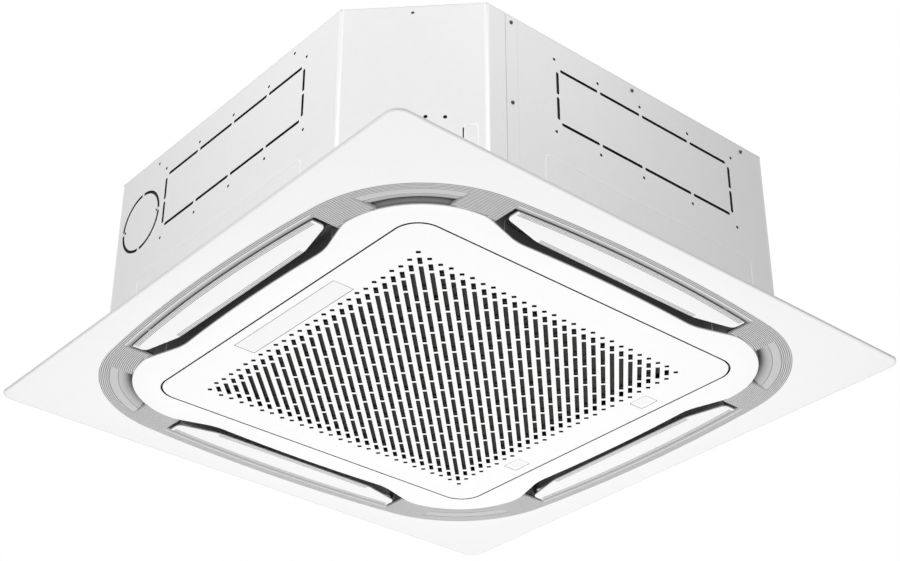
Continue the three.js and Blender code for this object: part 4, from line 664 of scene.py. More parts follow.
class Surface(Nodes):
    """A shader group placed on Object coordinates, which gives a colour, a roughness and a normal."""

    def __init__(self, name, **inputs):
        super().__init__(bpy.data.node_groups.new(name, "ShaderNodeTree"))
        self.socket("Place", "Vector")
        for label, value in inputs.items():
            kind = "Color" if isinstance(value, tuple) else "Float"
            self.socket(label.replace("_", " "), kind).default_value = value
        for label, kind in (("Colour", "Color"), ("Roughness", "Float"), ("Normal", "Vector")):
            self.socket(label, kind, "OUTPUT")

    def socket(self, label, kind, way="INPUT"):
        return self.tree.interface.new_socket(label, in_out=way, socket_type="NodeSocket" + kind)

    def noise(self, scale, detail, place=None, **keys):
        keys.update(Vector=place or self.given("Place"), Scale=scale, Detail=detail)
        return self.add("ShaderNodeTexNoise", **keys)

    def mapped(self, value, **keys):
        return self.add("ShaderNodeMapRange", Value=value, **keys)

    def scaled(self, colour, by):
        return self.add("ShaderNodeVectorMath", {0: colour, 1: by}, operation="MULTIPLY")

    def mixed(self, share, a, b):
        return self.add("ShaderNodeMix", {0: share, 6: a, 7: b}, data_type="RGBA").outputs[2]

    def marked(self, mask, amount, second_colour):
        """The group's Colour with marks of a second colour where the mask says so."""
        share = self.math("MULTIPLY", mask, self.given(amount))
        return self.mixed(share, self.given("Colour"), self.given(second_colour))

    def with_painted_light(self, colour):
        """Paints shade into a colour where the tone is above zero and a highlight where it is below."""
        lift = self.math("MULTIPLY", self.given("Gap Tone"), -1.0)
        edged = self.mixed(lift, colour, self.given("Edge Colour"))
        return self.mixed(self.given("Gap Tone"), edged, self.given("Gap Colour"))

    def rubbed(self, noise, low, high):
        return self.math("ADD", self.mapped(noise, To_Min=low, To_Max=high), self.given("Roughness"))

    def bump(self, height, strength, distance, **keys):
        return self.add("ShaderNodeBump", Height=height, Strength=strength, Distance=distance, **keys)

    def finished(self, colour, roughness, normal):
        self.add("NodeGroupOutput", Colour=colour, Roughness=roughness, Normal=normal)
        return self.tree


def moulded_effect():
    """Moulded plastic: a fine spark-eroded grain, slow shade changes and a little settled dust."""
    make = Surface(
        "moulded_surface", Colour=(0.8, 0.8, 0.8, 1), Dust_Colour=(0.5, 0.48, 0.45, 1), Dust=0.1,
        **PAINTED_LIGHT_INPUTS, Grain_Size=900.0, Grain_Depth=0.05, Roughness=0.45,
    )
    grain = make.noise(make.given("Grain Size"), 3.0)
    patchy = make.noise(42.0, 6.0)
    spots = make.math("MULTIPLY", make.noise(7.0, 5.0), patchy)
    dusty = make.marked(make.mapped(spots, From_Min=0.2, From_Max=0.45), "Dust", "Dust Colour")
    bump = make.bump(grain, make.given("Grain Depth"), 0.0004)
    return make.finished(make.with_painted_light(dusty), make.rubbed(patchy, -0.06, 0.08), bump)


def sheet_effect():
    """Coated steel sheet: rolled waviness, a faint orange peel and handling marks."""
    make = Surface(
        "coated_sheet", Colour=(0.7, 0.7, 0.7, 1), Mark_Colour=(0.4, 0.41, 0.42, 1), Marks=0.2,
        **PAINTED_LIGHT_INPUTS, Peel_Size=450.0, Peel_Depth=0.05, Roughness=0.35,
    )
    peel = make.noise(make.given("Peel Size"), 2.0)
    flakes = make.add("ShaderNodeTexVoronoi", Vector=make.given("Place"), Scale=95.0)
    scuffs = make.noise(16.0, 8.0, Roughness=0.72)
    marked = make.marked(make.mapped(scuffs, From_Min=0.55, From_Max=0.8), "Marks", "Mark Colour")
    spangle = make.mapped(flakes.outputs["Color"], To_Min=0.993, To_Max=1.007)
    fine = make.bump(peel, make.given("Peel Depth"), 0.0004)
    broad = make.bump(make.noise(9.0, 1.0), 0.07, 0.004, Normal=fine)
    colour = make.with_painted_light(make.scaled(marked, spangle))
    return make.finished(colour, make.rubbed(scuffs, -0.1, 0.12), broad)


def drawn_effect():
    """Bare metal with fine lines along one direction and a darker tarnish."""
    make = Surface(
        "drawn_metal", Colour=(0.6, 0.6, 0.6, 1), Tarnish_Colour=(0.3, 0.28, 0.25, 1), Tarnish=0.4,
        **PAINTED_LIGHT_INPUTS, Roughness=0.3,
    )
    stretch = make.add("ShaderNodeMapping", Vector=make.given("Place"), Scale=(1, 1, 0.05))
    lines = make.noise(1400.0, 2.0, place=stretch)
    stains = make.mapped(make.noise(55.0, 6.0), From_Min=0.42, From_Max=0.75)
    colour = make.with_painted_light(make.marked(stains, "Tarnish", "Tarnish Colour"))
    return make.finished(colour, make.rubbed(lines, -0.08, 0.14), make.bump(lines, 0.12, 0.0003))


def bead_effect():
    """Expanded foam: pressed beads with darker joints between them."""
    make = Surface("foam_beads", Colour=(0.9, 0.9, 0.88, 1), Bead_Size=300.0)
    size, place = make.given("Bead Size"), make.given("Place")
    beads = make.add("ShaderNodeTexVoronoi", Vector=place, Scale=size, feature="DISTANCE_TO_EDGE")
    joint = make.mapped(beads, From_Max=0.12, To_Min=0.78, To_Max=1.0)
    rough = make.mapped(beads, To_Min=0.95, To_Max=0.75)
    return make.finished(make.scaled(make.given("Colour"), joint), rough, make.bump(beads, 0.5, 0.001))


def finish_of(name, effect_maker, metallic=0.0, **values):
    """A material whose surface comes from one effect placed on Object coordinates."""
    material = bpy.data.materials.new(name)
    material.use_nodes = True
    tree = material.node_tree
    shader = tree.nodes["Principled BSDF"]
    shader.inputs["Metallic"].default_value = metallic
    make = Nodes(tree)
    place = make.add("ShaderNodeTexCoord").outputs["Object"]
    surface = make.add("ShaderNodeGroup", node_tree=built(effect_maker))
    tree.links.new(place, surface.inputs["Place"])
    if "Gap Tone" in surface.inputs:
        tone = make.add("ShaderNodeAttribute", attribute_name=TONE)
        tree.links.new(tone.outputs["Fac"], surface.inputs["Gap Tone"])
    for key, value in values.items():
        surface.inputs[key.replace("_", " ")].default_value = (*value, 1) if "Colour" in key else value
    for source, target in (("Colour", "Base Color"), ("Roughness", "Roughness"), ("Normal", "Normal")):
        tree.links.new(surface.outputs[source], shader.inputs[target])
    return material


def moulded(name, colour, dust, dust_colour, size, depth, roughness):
    return finish_of(
        name, moulded_effect, Colour=colour, Dust=dust, Dust_Colour=dust_colour, Grain_Size=size,
        Grain_Depth=depth, Roughness=roughness,
    )


def drawn(name, colour, tarnish, tarnish_colour, roughness, metallic=1.0):
    return finish_of(
        name, drawn_effect, metallic, Colour=colour, Tarnish=tarnish, Tarnish_Colour=tarnish_colour,
        Roughness=roughness,
    )


# name, colour, dust and its colour, the grain's fineness and depth, roughness
PANEL_WHITE = moulded("panel_white", (0.86, 0.86, 0.86), 0.05, (0.62, 0.61, 0.59), 1300.0, 0.05, 0.42)
GRILLE_WHITE = moulded("grille_white", (0.9, 0.9, 0.9), 0.03, (0.66, 0.65, 0.63), 1300.0, 0.04, 0.44)
RING_GREY = moulded("ring_grey", (0.7, 0.7, 0.7), 0.08, (0.42, 0.42, 0.42), 1000.0, 0.08, 0.5)
COVER_GREY = moulded("cover_grey", (0.62, 0.62, 0.62), 0.07, (0.4, 0.4, 0.4), 1000.0, 0.06, 0.45)
DARK_PLASTIC = moulded(
    "dark_plastic", (0.035, 0.035, 0.037), 0.25, (0.12, 0.115, 0.11), 700.0, 0.15, 0.55
)
FILTER_DARK = moulded("filter_dark", (0.03, 0.026, 0.024), 0.3, (0.07, 0.06, 0.055), 500.0, 0.2, 0.75)
PUMP_WHITE = moulded("pump_white", (0.72, 0.72, 0.7), 0.2, (0.45, 0.43, 0.4), 600.0, 0.1, 0.5)
RUBBER_BLACK = moulded("rubber_black", (0.02, 0.02, 0.02), 0.35, (0.09, 0.085, 0.08), 350.0, 0.3, 0.8)
BOARD_GREEN = moulded("board_green", (0.03, 0.14, 0.06), 0.3, (0.2, 0.22, 0.16), 260.0, 0.25, 0.35)
CASING_COAT = finish_of(
    "casing_coat", sheet_effect, 0.1, Colour=(0.85, 0.85, 0.852), Mark_Colour=(0.66, 0.66, 0.66),
    Marks=0.12, Peel_Size=620.0, Peel_Depth=0.03, Roughness=0.33,
)
# name, colour, tarnish and its colour, roughness
BARE_STEEL = drawn("bare_steel", (0.55, 0.56, 0.57), 0.45, (0.33, 0.32, 0.3), 0.32)
ALUMINIUM = drawn("fin_aluminium", (0.72, 0.74, 0.76), 0.3, (0.5, 0.5, 0.5), 0.3, metallic=0.9)
COPPER = drawn("drawn_copper", (0.72, 0.36, 0.2), 0.6, (0.3, 0.14, 0.07), 0.28)
BRASS = drawn("turned_brass", (0.74, 0.56, 0.25), 0.45, (0.4, 0.28, 0.11), 0.26)
INSULATION = finish_of("insulation_dark", bead_effect, Colour=(0.035, 0.035, 0.037), Bead_Size=500.0)
FOAM = finish_of("foam_white", bead_effect, Colour=(0.78, 0.78, 0.76), Bead_Size=320.0)


# ---------- panel ----------

def panel_lip():
    outer = rounded_square(PANEL_HALF, PANEL_CORNER_R, 12)
    ring = ring_outline(0)
    edge = rounded_edge(FACE_Z, 1.3)
    inner = rounded_edge(FACE_Z, 0.7, outwards=-1)
    skirt = inner + [(0, SKIRT_TOP - 0.4), (0.4, SKIRT_TOP), (WALL_T, SKIRT_TOP), (WALL_T, 0)]
    return [
        filled([grown(outer, -3), grown(ring, inner[0][0])], FACE_Z),
        # Thin lines of painted shade on the outer rounded edge.
        shaded(swept(outer, [(-3, FACE_Z)] + edge[:1]), 0.14),
        shaded(swept(outer, edge + [(0, 0)]), 0.1),
        swept(ring, skirt),
        filled([outer, grown(ring, WALL_T)], 0),
    ]


def band_wall_shade(x, y, z):
    """Painted shade on the band's outer wall: dark in the outlets, paler beside them and behind the
    dishes.
    """
    if z < -0.8:
        return 0.0
    if abs(x) > COVER_START - 4 and abs(y) > COVER_START - 4:
        return 0.8 - 0.6 * min(1.0, (z + 0.8) / 4.5)
    at_end = min(abs(x), abs(y)) > END_LINE
    return 0.68 if at_end else 0.88 - 0.1 * min(1.0, max(0.0, z) / DISH_DEPTH)


# Painted shade on the wall of the opening, in the seam around the grille.
def seam_shade(x, y, z):
    return DEEP_SHADE if -2.99 < z < 1 else 0.0


def end_lines():
    """Fine upright ribs on the band's wall, near both ends of every outlet."""
    y = height_at(band_half(), END_LINE)
    return [
        part for at in (-END_LINE, END_LINE)
        for part in on_four_sides(box_patch(at - 0.4, at + 0.4, y - 0.5, y + 0.7, -0.7, SKIRT_TOP))
    ]


def panel_band():
    opening = rounded_square(OPENING_HALF, OPENING_R, 12)
    edge = rounded_edge(FACE_Z, 0.9)
    inner = rounded_edge(FACE_Z, 0.15, outwards=-1)
    step, back = OPENING_STEP, OPENING_STEP + WALL_T
    wall = inner + [(0, -SEAT), (step, -SEAT), (step, OPENING_TOP), (back, OPENING_TOP), (back, 0)]
    rim = edge + [(0, z) for z in (-0.9, -0.75, 1.2, 3.7, SKIRT_TOP)]
    return [
        # The band's face is lightened with a painted highlight.
        shaded(filled([grown(BAND, edge[0][0]), grown(opening, inner[0][0])], FACE_Z), BAND_HIGHLIGHT),
        shaded(swept(BAND, rim), band_wall_shade),
        swept(BAND, [(0, SKIRT_TOP), (-WALL_T, SKIRT_TOP), (-WALL_T, 0)]),
        shaded(swept(opening, wall), seam_shade),
        filled([grown(BAND, -WALL_T), grown(opening, back)], 0),
    ]


def channel_block(x0, x1, inner_growth, inset):
    """Outline of the channel between band and ring from x0 to x1 on the +Y side."""
    band = clipped([(x, y + inner_growth) for x, y in band_half()], x0, x1)
    return band + clipped(ring_half(inset, 30), x0, x1)[::-1]


def panel_webs():
    """Webs that join band and lip beside the outlets, and screw platforms in the corners."""
    web = channel_block(OUTLET_HALF, COVER_START - 1, -1, -1)
    parts = []
    for outline in (web, mirrored(web)):
        parts += on_four_sides(plate([outline], 1.9, 3.7))
    start = COVER_START + 10
    outer = through_corner(beyond(ring_half(-1, 30), start))
    band = [(x - 0.7, y - 0.7) for x, y in band_half() if x >= start]
    inner = through_corner([(start, height_at(band_half(), start) - 1)] + band)
    inner = [p for p in inner if min(p) >= start]
    corner = without_doubles((outer + inner[::-1])[::-1])
    return parts + on_four_sides(plate([corner, circle(336, 336, 3, 16)], 12.8, SKIRT_TOP))


def outlet_end_walls():
    wall = plate([rounded_rectangle(358, 398, 1.9, 30, 3), circle(*FLAP_AXIS, 3, 20)], 0, WALL_T)
    parts = []
    for x in (OUTLET_HALF, -OUTLET_HALF - WALL_T):
        # The end walls get the groove's painted shade.
        parts += on_four_sides(shaded(upright(wall, x), GROOVE_SHADE))
    return parts


def hinge_shelves():
    parts = []
    for y in (-HINGE_Y, HINGE_Y):
        outline = rounded_rectangle(-313.6, HINGE_X + 6, y - 6.05, y + 6.05, 1, 3)
        slot = rounded_rectangle(HINGE_X - 1.65, HINGE_X + 1.65, y - 3.85, y + 3.85, 0.4, 2)
        parts.append(plate([outline, slot], 9.6, OPENING_TOP))
    return parts


def make_panel():
    patches = panel_lip() + panel_band() + panel_webs() + outlet_end_walls() + end_lines()
    piece_from("panel", patches + hinge_shelves(), PANEL_WHITE, "panel_frame")


# ---------- outlet ring ----------

def ring_inner_half():
    outlet = clipped(ring_half(TROUGH_START, 24), 0, OUTLET_HALF)
    band = clipped([(x, y + SEAT) for x, y in band_half()], OUTLET_HALF, COVER_START)
    return outlet + band + beyond(ring_half(RIB_BAND, 24), COVER_START)


def trough():
    """The smooth hollow between the ribs and a flap, along the outer edge of an outlet."""
    reach = OUTLET_HALF - SEAT
    inner = reach - 0.6
    xs = [-reach] + [inner * (i / 16 - 1) for i in range(33)] + [reach]
    rows = []
    for t in (0, 0.08, 0.2, 0.4, 0.6, 0.8, 1):
        inset = TROUGH_START + (OUTLET_EDGE - TROUGH_START) * t
        rows.append([(x, ring_edge(x, inset), RING_FACE_Z + TROUGH_DEPTH * t ** 1.6) for x in xs])

    # Painted shade that deepens down the hollow, a painted highlight along its top edge, and groove
    # shade at its ends.
    def tone(x, y, z):
        if max(abs(x), abs(y)) < RING_APEX - 30 or min(abs(x), abs(y)) > inner + 0.3:
            return GROOVE_SHADE
        depth = max(0.0, min(1.0, (z - RING_FACE_Z) / TROUGH_DEPTH))
        return EDGE_LIGHT if depth < 0.001 else 0.3 + 0.45 * depth

    return shaded(grid_shell(rows, TROUGH_T), tone)


def rib_lines():
    """Ribs all around, and ribs broken off at the outlets or at the corner covers."""
    around, broken = [], []
    inset = 1.75
    floor = band_half()
    while inset < 95:
        half = ring_half(inset, 40)
        if inset < TROUGH_START - 1:
            around.append(ring_outline(inset))
        elif inset < RIB_BAND - 1:
            broken.append(through_corner([p for p in half if p[0] > OUTLET_HALF + 0.9]))
        else:
            part = clipped(half, OUTLET_HALF + 0.9, COVER_START - 0.9)
            part = [p for p in part if p[1] > height_at(floor, p[0]) + 1.1]
            if len(part) > 3:
                broken += [part, [(-x, y) for x, y in part]]
        inset += RIB_PITCH
    return around, broken


def outlet_duct_wall():
    reach = OUTLET_HALF - SEAT
    outer, inner = (clipped(ring_half(OUTLET_EDGE - t, 24), 0, reach) for t in (2, 0))
    outline = mirrored(outer[1:]) + outer + inner[::-1] + mirrored(inner[:0:-1])
    return plate([outline], 1.3, SKIRT_TOP)


def make_ring():
    outer, inner = ring_outline(SEAT), eightfold(ring_inner_half())
    z0, z1 = RING_FACE_Z, RING_TOP_Z
    patches = [filled([outer, inner], z) for z in (z0, z1)]
    patches += [swept(loop, [(0, z0), (0, z1)]) for loop in (outer, inner)]
    around, broken = rib_lines()
    patches.append(groove([outer, ring_outline(TROUGH_START - 0.5)], z0))
    patches += on_four_sides(trough())
    start = COVER_START - SEAT - 0.05
    insets = (TROUGH_START - 0.6, RIB_BAND)
    low, high = (through_corner(beyond(ring_half(i, 30), start)) for i in insets)
    patches += on_four_sides(groove([low + high[::-1]], z0))
    patches.append(moved(ribs(around, RIB_R, closed=True), z=z0 - RIB_OUT))
    floor = channel_block(OUTLET_HALF + SEAT, COVER_START - SEAT, SEAT + 0.2, TROUGH_START - 0.6)
    for outline in (floor, mirrored(floor)):
        patches += on_four_sides(groove([outline], z0))
    patches += on_four_sides(moved(ribs(broken, RIB_R), z=z0 - RIB_OUT))
    # The duct walls get painted shade.
    patches += on_four_sides(shaded(outlet_duct_wall(), 0.45))
    piece_from("ribbed_ring", patches, RING_GREY, "outlet_ring", smooth=50)


# ---------- corner covers ----------

# Radius from the ring's corner centre and height, inside and outside the seam.
COVER_PROFILE = ((150, 8.6), (154, 8.2), (157, 6.2), (162, 3.2), (167, 1.2), (172.2, -0.1))
COVER_SEAM_R = 172.4
COVER_OUTER_PROFILE = ((172.6, -0.1), (176, -0.9), (181, -1.3), (187, -1.45))
COVER_START_R = 152.4
COVER_T = 2
# Height in the dish and its share of painted shade.
DISH_SHADES = ((-0.1, 0.2), (1.2, 0.28), (3.2, 0.46), (5, 0.66), (6.5, 0.88), (8.6, 0.98))


def cover_level(radius):
    if abs(radius - COVER_SEAM_R) < 0.35:
        return level_on(COVER_PROFILE, 172.2) + 0.75
    return level_on(COVER_PROFILE if radius < COVER_SEAM_R else COVER_OUTER_PROFILE, radius)


def cover_inner_radius(angle):
    """Distance from the ring's corner centre to the band's edge, in the direction of an angle."""
    off = CORNER_C - BAND_CORNER_C
    radius = BAND_CORNER_R + SEAT
    b = off * (math.cos(angle) + math.sin(angle))
    return -b + math.sqrt(b * b - 2 * off * off + radius * radius)


def cover_grid():
    reach = RING_CORNER_R - RIB_BAND - SEAT - COVER_START_R
    cut = COVER_START + SEAT - CORNER_C
    fade_end = COVER_SEAM_R - 2
    radii = [COVER_START_R + reach * i / 14 for i in range(15)]
    radii += [COVER_SEAM_R + d for d in (-0.5, -0.3, 0, 0.3, 0.5)]
    rows = []
    for nominal in sorted(radii):
        row = []
        low = math.asin(cut / nominal)
        for i in range(41):
            a = low + (math.pi / 2 - 2 * low) * i / 40
            fade = max(0.0, min(1.0, (fade_end - nominal) / (fade_end - COVER_START_R)))
            radius = nominal + (cover_inner_radius(a) - COVER_START_R) * fade
            place = (CORNER_C + radius * math.cos(a), CORNER_C + radius * math.sin(a))
            row.append((*place, cover_level(nominal)))
        rows.append(row)
    return rows


def dish_shade(x, y, z):
    """Painted shade: darker towards the foot of the dish, a dark line at the seam and a little outside
    it.
    """
    radius = math.hypot(x - CORNER_C, y - CORNER_C)
    if abs(radius - COVER_SEAM_R) < 0.4:
        return 0.6
    return level_on(DISH_SHADES, z) if radius < COVER_SEAM_R else 0.14


def make_corner_covers():
    shell = shaded(grid_shell(cover_grid(), COVER_T), dish_shade)
    four_pieces("corner_dish", [shell], COVER_GREY, "corner_cover", smooth=40)


# ---------- flaps ----------

def flap_outline():
    xs = [FLAP_HALF * (1 - 2 * i / 24) for i in range(25)]
    outer = [(x, ring_edge(x, FLAP_EDGE)) for x in xs]
    bend, end = (FLAP_STRAIGHT, FLAP_INNER), (FLAP_HALF, FLAP_END_INNER)
    soft = bezier((FLAP_STRAIGHT - 8, FLAP_INNER), bend, towards(bend, end, 8), 4)
    right = soft + bezier(towards(end, bend, 8), end, (FLAP_HALF, FLAP_END_INNER + 8), 5)
    return without_doubles(outer + mirrored(right) + right)


def strip_between(low, high, reach, steps):
    """A closed outline between two lines given as y at every x."""
    xs = [reach * (2 * i / steps - 1) for i in range(steps + 1)]
    return [(x, low(x)) for x in xs] + [(x, high(x)) for x in reversed(xs)]


def flap_ribs():
    """Fine grooves darkened with painted shade, with low ridges between them along both long edges of a
    flap.
    """
    low, half = FLAP_Z[0], FLAP_GROOVE_PITCH / 2
    strips, lines = [], []
    for k in range(3):
        y = 366.5 + FLAP_GROOVE_PITCH * k
        inset = FLAP_EDGE + 1.5 + FLAP_GROOVE_PITCH * k
        strips.append(strip_between(lambda x: y - 0.55, lambda x: y + 0.55, 147, 8))
        edges = (lambda x: ring_edge(x, inset + 0.6), lambda x: ring_edge(x, inset - 0.6))
        strips.append(strip_between(*edges, 211, 32))
        if k < 2:
            lines.append([(x, y + half) for x in (-147, -70, 0, 70, 147)])
            lines.append([(x, ring_edge(x, inset + half)) for x in range(-211, 212, 16)])
    return [moved(ribs(lines, 0.6), z=low + 0.3)] + [groove([s], low, SIDE_SHADE) for s in strips]


def flap_arm(side):
    """An arm at a flap's end with a pin that turns in the outlet's end wall."""
    y, z = FLAP_AXIS
    x0, x1 = sorted((side * (FLAP_HALF - 1.5), side * (FLAP_HALF - 4)))
    outline = [(y - 5, z - 2)] + arc(y, z, 5, 180, 0, 12)
    outline += [(y + 5, 4.5), (y + 14, 3.2), (y + 14, -0.9), (y + 1.5, -0.9), (y - 3, 3.2)]
    profile = [(0, 0), (2.2, 0), (2.5, 0.3), (2.5, 15.2), (2.1, 15.6), (0, 15.6)]
    pin = turned_about(lathe(profile, 24, closed=False), "X", 0 if side > 0 else 180)
    start = x1 - 0.2 if side > 0 else x0 + 0.2
    return [upright(plate([outline[::-1]], 0, 2.5), x0), lying_along_x(pin, start, y, z)]


def make_flaps():
    outline = flap_outline()
    low, high = FLAP_Z
    edge = rounded_edge(low, 0.6)
    blade = [
        filled([grown(outline, edge[0][0])], low),
        swept(outline, edge + [(0, high)]),
        filled([outline], high),
    ]
    # The arms at the flap's ends get deep painted shade.
    patches = blade + flap_ribs() + [shaded(p, DEEP_SHADE) for p in flap_arm(1) + flap_arm(-1)]
    four_pieces("air_flap", patches, PANEL_WHITE, "flap", "flap", smooth=40)


# ---------- grille: columns of slots lie along its diagonal ----------

SLOT_PITCH, SLOT_FIRST = 13.34, -3.3
SLOT_W, SLOT_CORNER = 6.6, 0.35
SLOT_PERIOD, SLOT_BRIDGE = 57.3, 4.6
SLOT_CENTRE = 5.0
SLOT_DOT = 6
SHORT_COLUMNS = {  # slot lengths and gaps from one end to the other in the shortest columns
    23: (6, 10.5, 14, 6, 22, 6, 14, 10.5, 6),
    24: (6, 10.5, 34, 10.5, 6),
    25: (6, 8, 16, 8, 6),
    26: (6,),
}


def column_half_length(size):
    if size < 2:
        return (360.0, 342.0)[size]
    return (353.0 if size % 2 == 0 else 356.0) - SLOT_PITCH * size


def column_slots(size):
    """Start and end of every slot in one diagonal column, measured along it."""
    if size in SHORT_COLUMNS:
        at = -sum(SHORT_COLUMNS[size]) / 2
        slots = []
        for i, length in enumerate(SHORT_COLUMNS[size]):
            if i % 2 == 0:
                slots.append((at, at + length))
            at += length
        return slots
    half = column_half_length(size)
    second = (half - SLOT_DOT - 26.5, half - SLOT_DOT - 10.5)
    third_start = second[0] - 6
    phase = 0 if size % 2 == 0 else SLOT_PERIOD / 2
    bridges = [phase + SLOT_PERIOD / 2 + SLOT_PERIOD * n for n in range(-8, 9)]
    last = max([b for b in bridges if third_start - b >= 26], default=0)
    slots = [(half - SLOT_DOT, half), second, (last + SLOT_BRIDGE / 2, third_start)]
    slots += [(-b, -a) for a, b in slots]
    inner = [b for b in bridges if -last - 1 <= b <= last + 1]
    if last <= 0 or len(inner) < 2:
        return sorted(slots[:2] + slots[3:5] + [(-third_start, third_start)])
    between = [(a + SLOT_BRIDGE / 2, b - SLOT_BRIDGE / 2) for a, b in zip(inner, inner[1:])]
    return sorted(slots + between)


def slot_points():
    """Middle and length of every slot of the grille."""
    spots = []
    for k in range(-26, 27):
        v = -(SLOT_FIRST + SLOT_PITCH * k)
        for u0, u1 in column_slots(abs(k)):
            u = (u0 + u1) / 2 + SLOT_CENTRE
            spots.append((((u - v) * ROOT, (u + v) * ROOT), u1 - u0))
    return spots


def window_loop(growth=0.0):
    x0, x1, y0, y1 = WINDOW
    g = growth + SEAT
    return rounded_rectangle(x0 - g, x1 + g, y0 - g, y1 + g, 1.2, 3)


def grille_wires():
    """The plate's outline and openings as wires, and a loose point for every slot."""
    loops = [rounded_square(GRILLE_HALF, GRILLE_R, 12)]
    for y in (-LATCH_Y, LATCH_Y):
        loops.append(rounded_rectangle(LATCH_X - 13.3, LATCH_X + 13.3, y - 17.3, y + 17.3, 3.2))
    mesh = wires("grille", loops + [window_loop()])
    spots = slot_points()
    count = len(mesh.vertices)
    mesh.vertices.add(len(spots))
    lengths = mesh.attributes.new("slot_length", "FLOAT", "POINT")
    for i, (place, length) in enumerate(spots, count):
        mesh.vertices[i].co = Vector((*place, 0)) * MM
        lengths.data[i].value = length * MM
    return mesh


def grille_plate():
    # Tone 1 gives the walls of the slots and openings full painted shade.
    face = made_by(
        slotted_plate_tree, grille_wires(), Thickness=(GRILLE_TOP - FACE_Z) * MM,
        Slot_Width=SLOT_W * MM, Slot_Corner=SLOT_CORNER * MM, Slot_Angle=math.radians(45), Tone=1.0,
    )
    pocket = plate([window_loop(0.4)], FACE_Z + 1.4, GRILLE_TOP - 0.05)
    return [moved(arrays_of(face), z=FACE_Z), pocket]


def latch_housing(y):
    x0, x1 = 261.5, 293.3
    outline = rounded_rectangle(x0, x1, y - 19.3, y + 19.3, 2)
    inner = rounded_rectangle(x0 + 2, x1 - 2, y - 17.3, y + 17.3, 1)
    return [
        swept(outline, [(0, -0.9), (0, 11.1), (-0.4, 11.5)]),
        filled([grown(outline, -0.4)], 11.5),
        swept(inner, [(0, -0.9), (0, 9.5)]),
        filled([inner], 9.5),
        filled([outline, inner], -0.9),
    ]


def hinge_eyes(y):
    parts = []
    for side in (-1, 1):
        near = y + side * 3.85
        a, b = sorted((near, near + side * 4))
        ring = turned_about(lathe([(1.6, 0), (2.7, 0), (2.7, 4), (1.6, 4)], 24), "X", -90)
        parts.append(moved(ring, HINGE_X, a, HINGE_Z))
        parts.append(box_patch(HINGE_X + 1.7, HINGE_X + 2.7, a, b, -2.4, HINGE_Z))
    return parts


def make_grille():
    patches = grille_plate()
    patches += [box_patch(-276, 246, *sorted((s * 274, s * 271)), -0.9, 3.4) for s in (-1, 1)]
    for make, at in ((latch_housing, LATCH_Y), (hinge_eyes, HINGE_Y)):
        patches += make(-at) + make(at)
    piece_from(
        "slotted_grille", patches, GRILLE_WHITE, "intake_grille", "grille", 30,
        merge=0.0005,
    )


def make_window_plate():
    outline = grown(rounded_rectangle(*WINDOW, 1.2, 4), -PLATE_GAP)
    edge = rounded_edge(FACE_Z, 0.15)
    patches = [
        filled([grown(outline, edge[0][0])], FACE_Z),
        # The side wall in the gap gets painted shade.
        shaded(swept(outline, [(0, edge[-1][1]), (0, -1.9)]), SIDE_SHADE),
        swept(outline, edge),
        filled([outline], -1.9),
    ]
    piece_from("bare_window_plate", patches, PANEL_WHITE, "window_plate", "grille")


def button_face(y):
    """A push plate with a finger hollow, made of outlines that shrink to the middle."""
    plain = rounded_rectangle(LATCH_X - 13, LATCH_X + 13, y - 17, y + 17, 3, 6)
    outline = grown(plain, -PLATE_GAP)
    edge = rounded_edge(FACE_Z, 0.15)[::-1]
    rows = [[(x, py, -0.8) for x, py in outline]]
    rows += [[(x, py, z) for x, py in grown(outline, d)] for d, z in edge]
    start = grown(outline, edge[-1][0])
    for i in range(1, 12):
        keep = 1 - i / 12
        z = FACE_Z + 1.15 * (0.5 - 0.5 * math.cos(math.pi * min(1, (i / 12) * 1.5)))
        rows.append([(LATCH_X + (x - LATCH_X) * keep, y + (py - y) * keep, z) for x, py in start])
    return capped_skin(rows)


# Painted shade on the button's sides in the gap and a faint painted shade in the finger hollow.
def button_shade(x, y, z):
    if abs(x - LATCH_X) > 12.5 or abs(abs(y) - LATCH_Y) > 16.5:
        return SIDE_SHADE if z > -2.9 else 0.0
    return 0.06 if z > -2.4 else 0.0


def make_latches():
    for number, y in ((1, -LATCH_Y), (2, LATCH_Y)):
        button = f"latch_button_{number}"
        stem = box_patch(LATCH_X - 5, LATCH_X + 5, y - 15, y - 12, -1.3, 5.2)
        patches = [shaded(button_face(y), button_shade), stem]
        piece_from(
            f"push_button_{number}", patches, GRILLE_WHITE, button, button, smooth=40
        )
        make_latch_spring(number, y)


def make_latch_spring(number, y):
    x0, x1, z = 263.9, 283.6, 7.8
    turns, wire = 6, 0.28
    steps = turns * 14
    line = []
    for i in range(steps + 1):
        a = math.tau * turns * i / steps
        x = x0 + wire + (x1 - x0 - 2 * wire) * i / steps
        line.append((x, y + math.cos(a), z + math.sin(a)))
    piece = piece_from(
        f"return_spring_{number}", [ribs([line], wire)], BARE_STEEL, f"latch_spring_{number}",
        "grille",
    )
    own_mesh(piece)


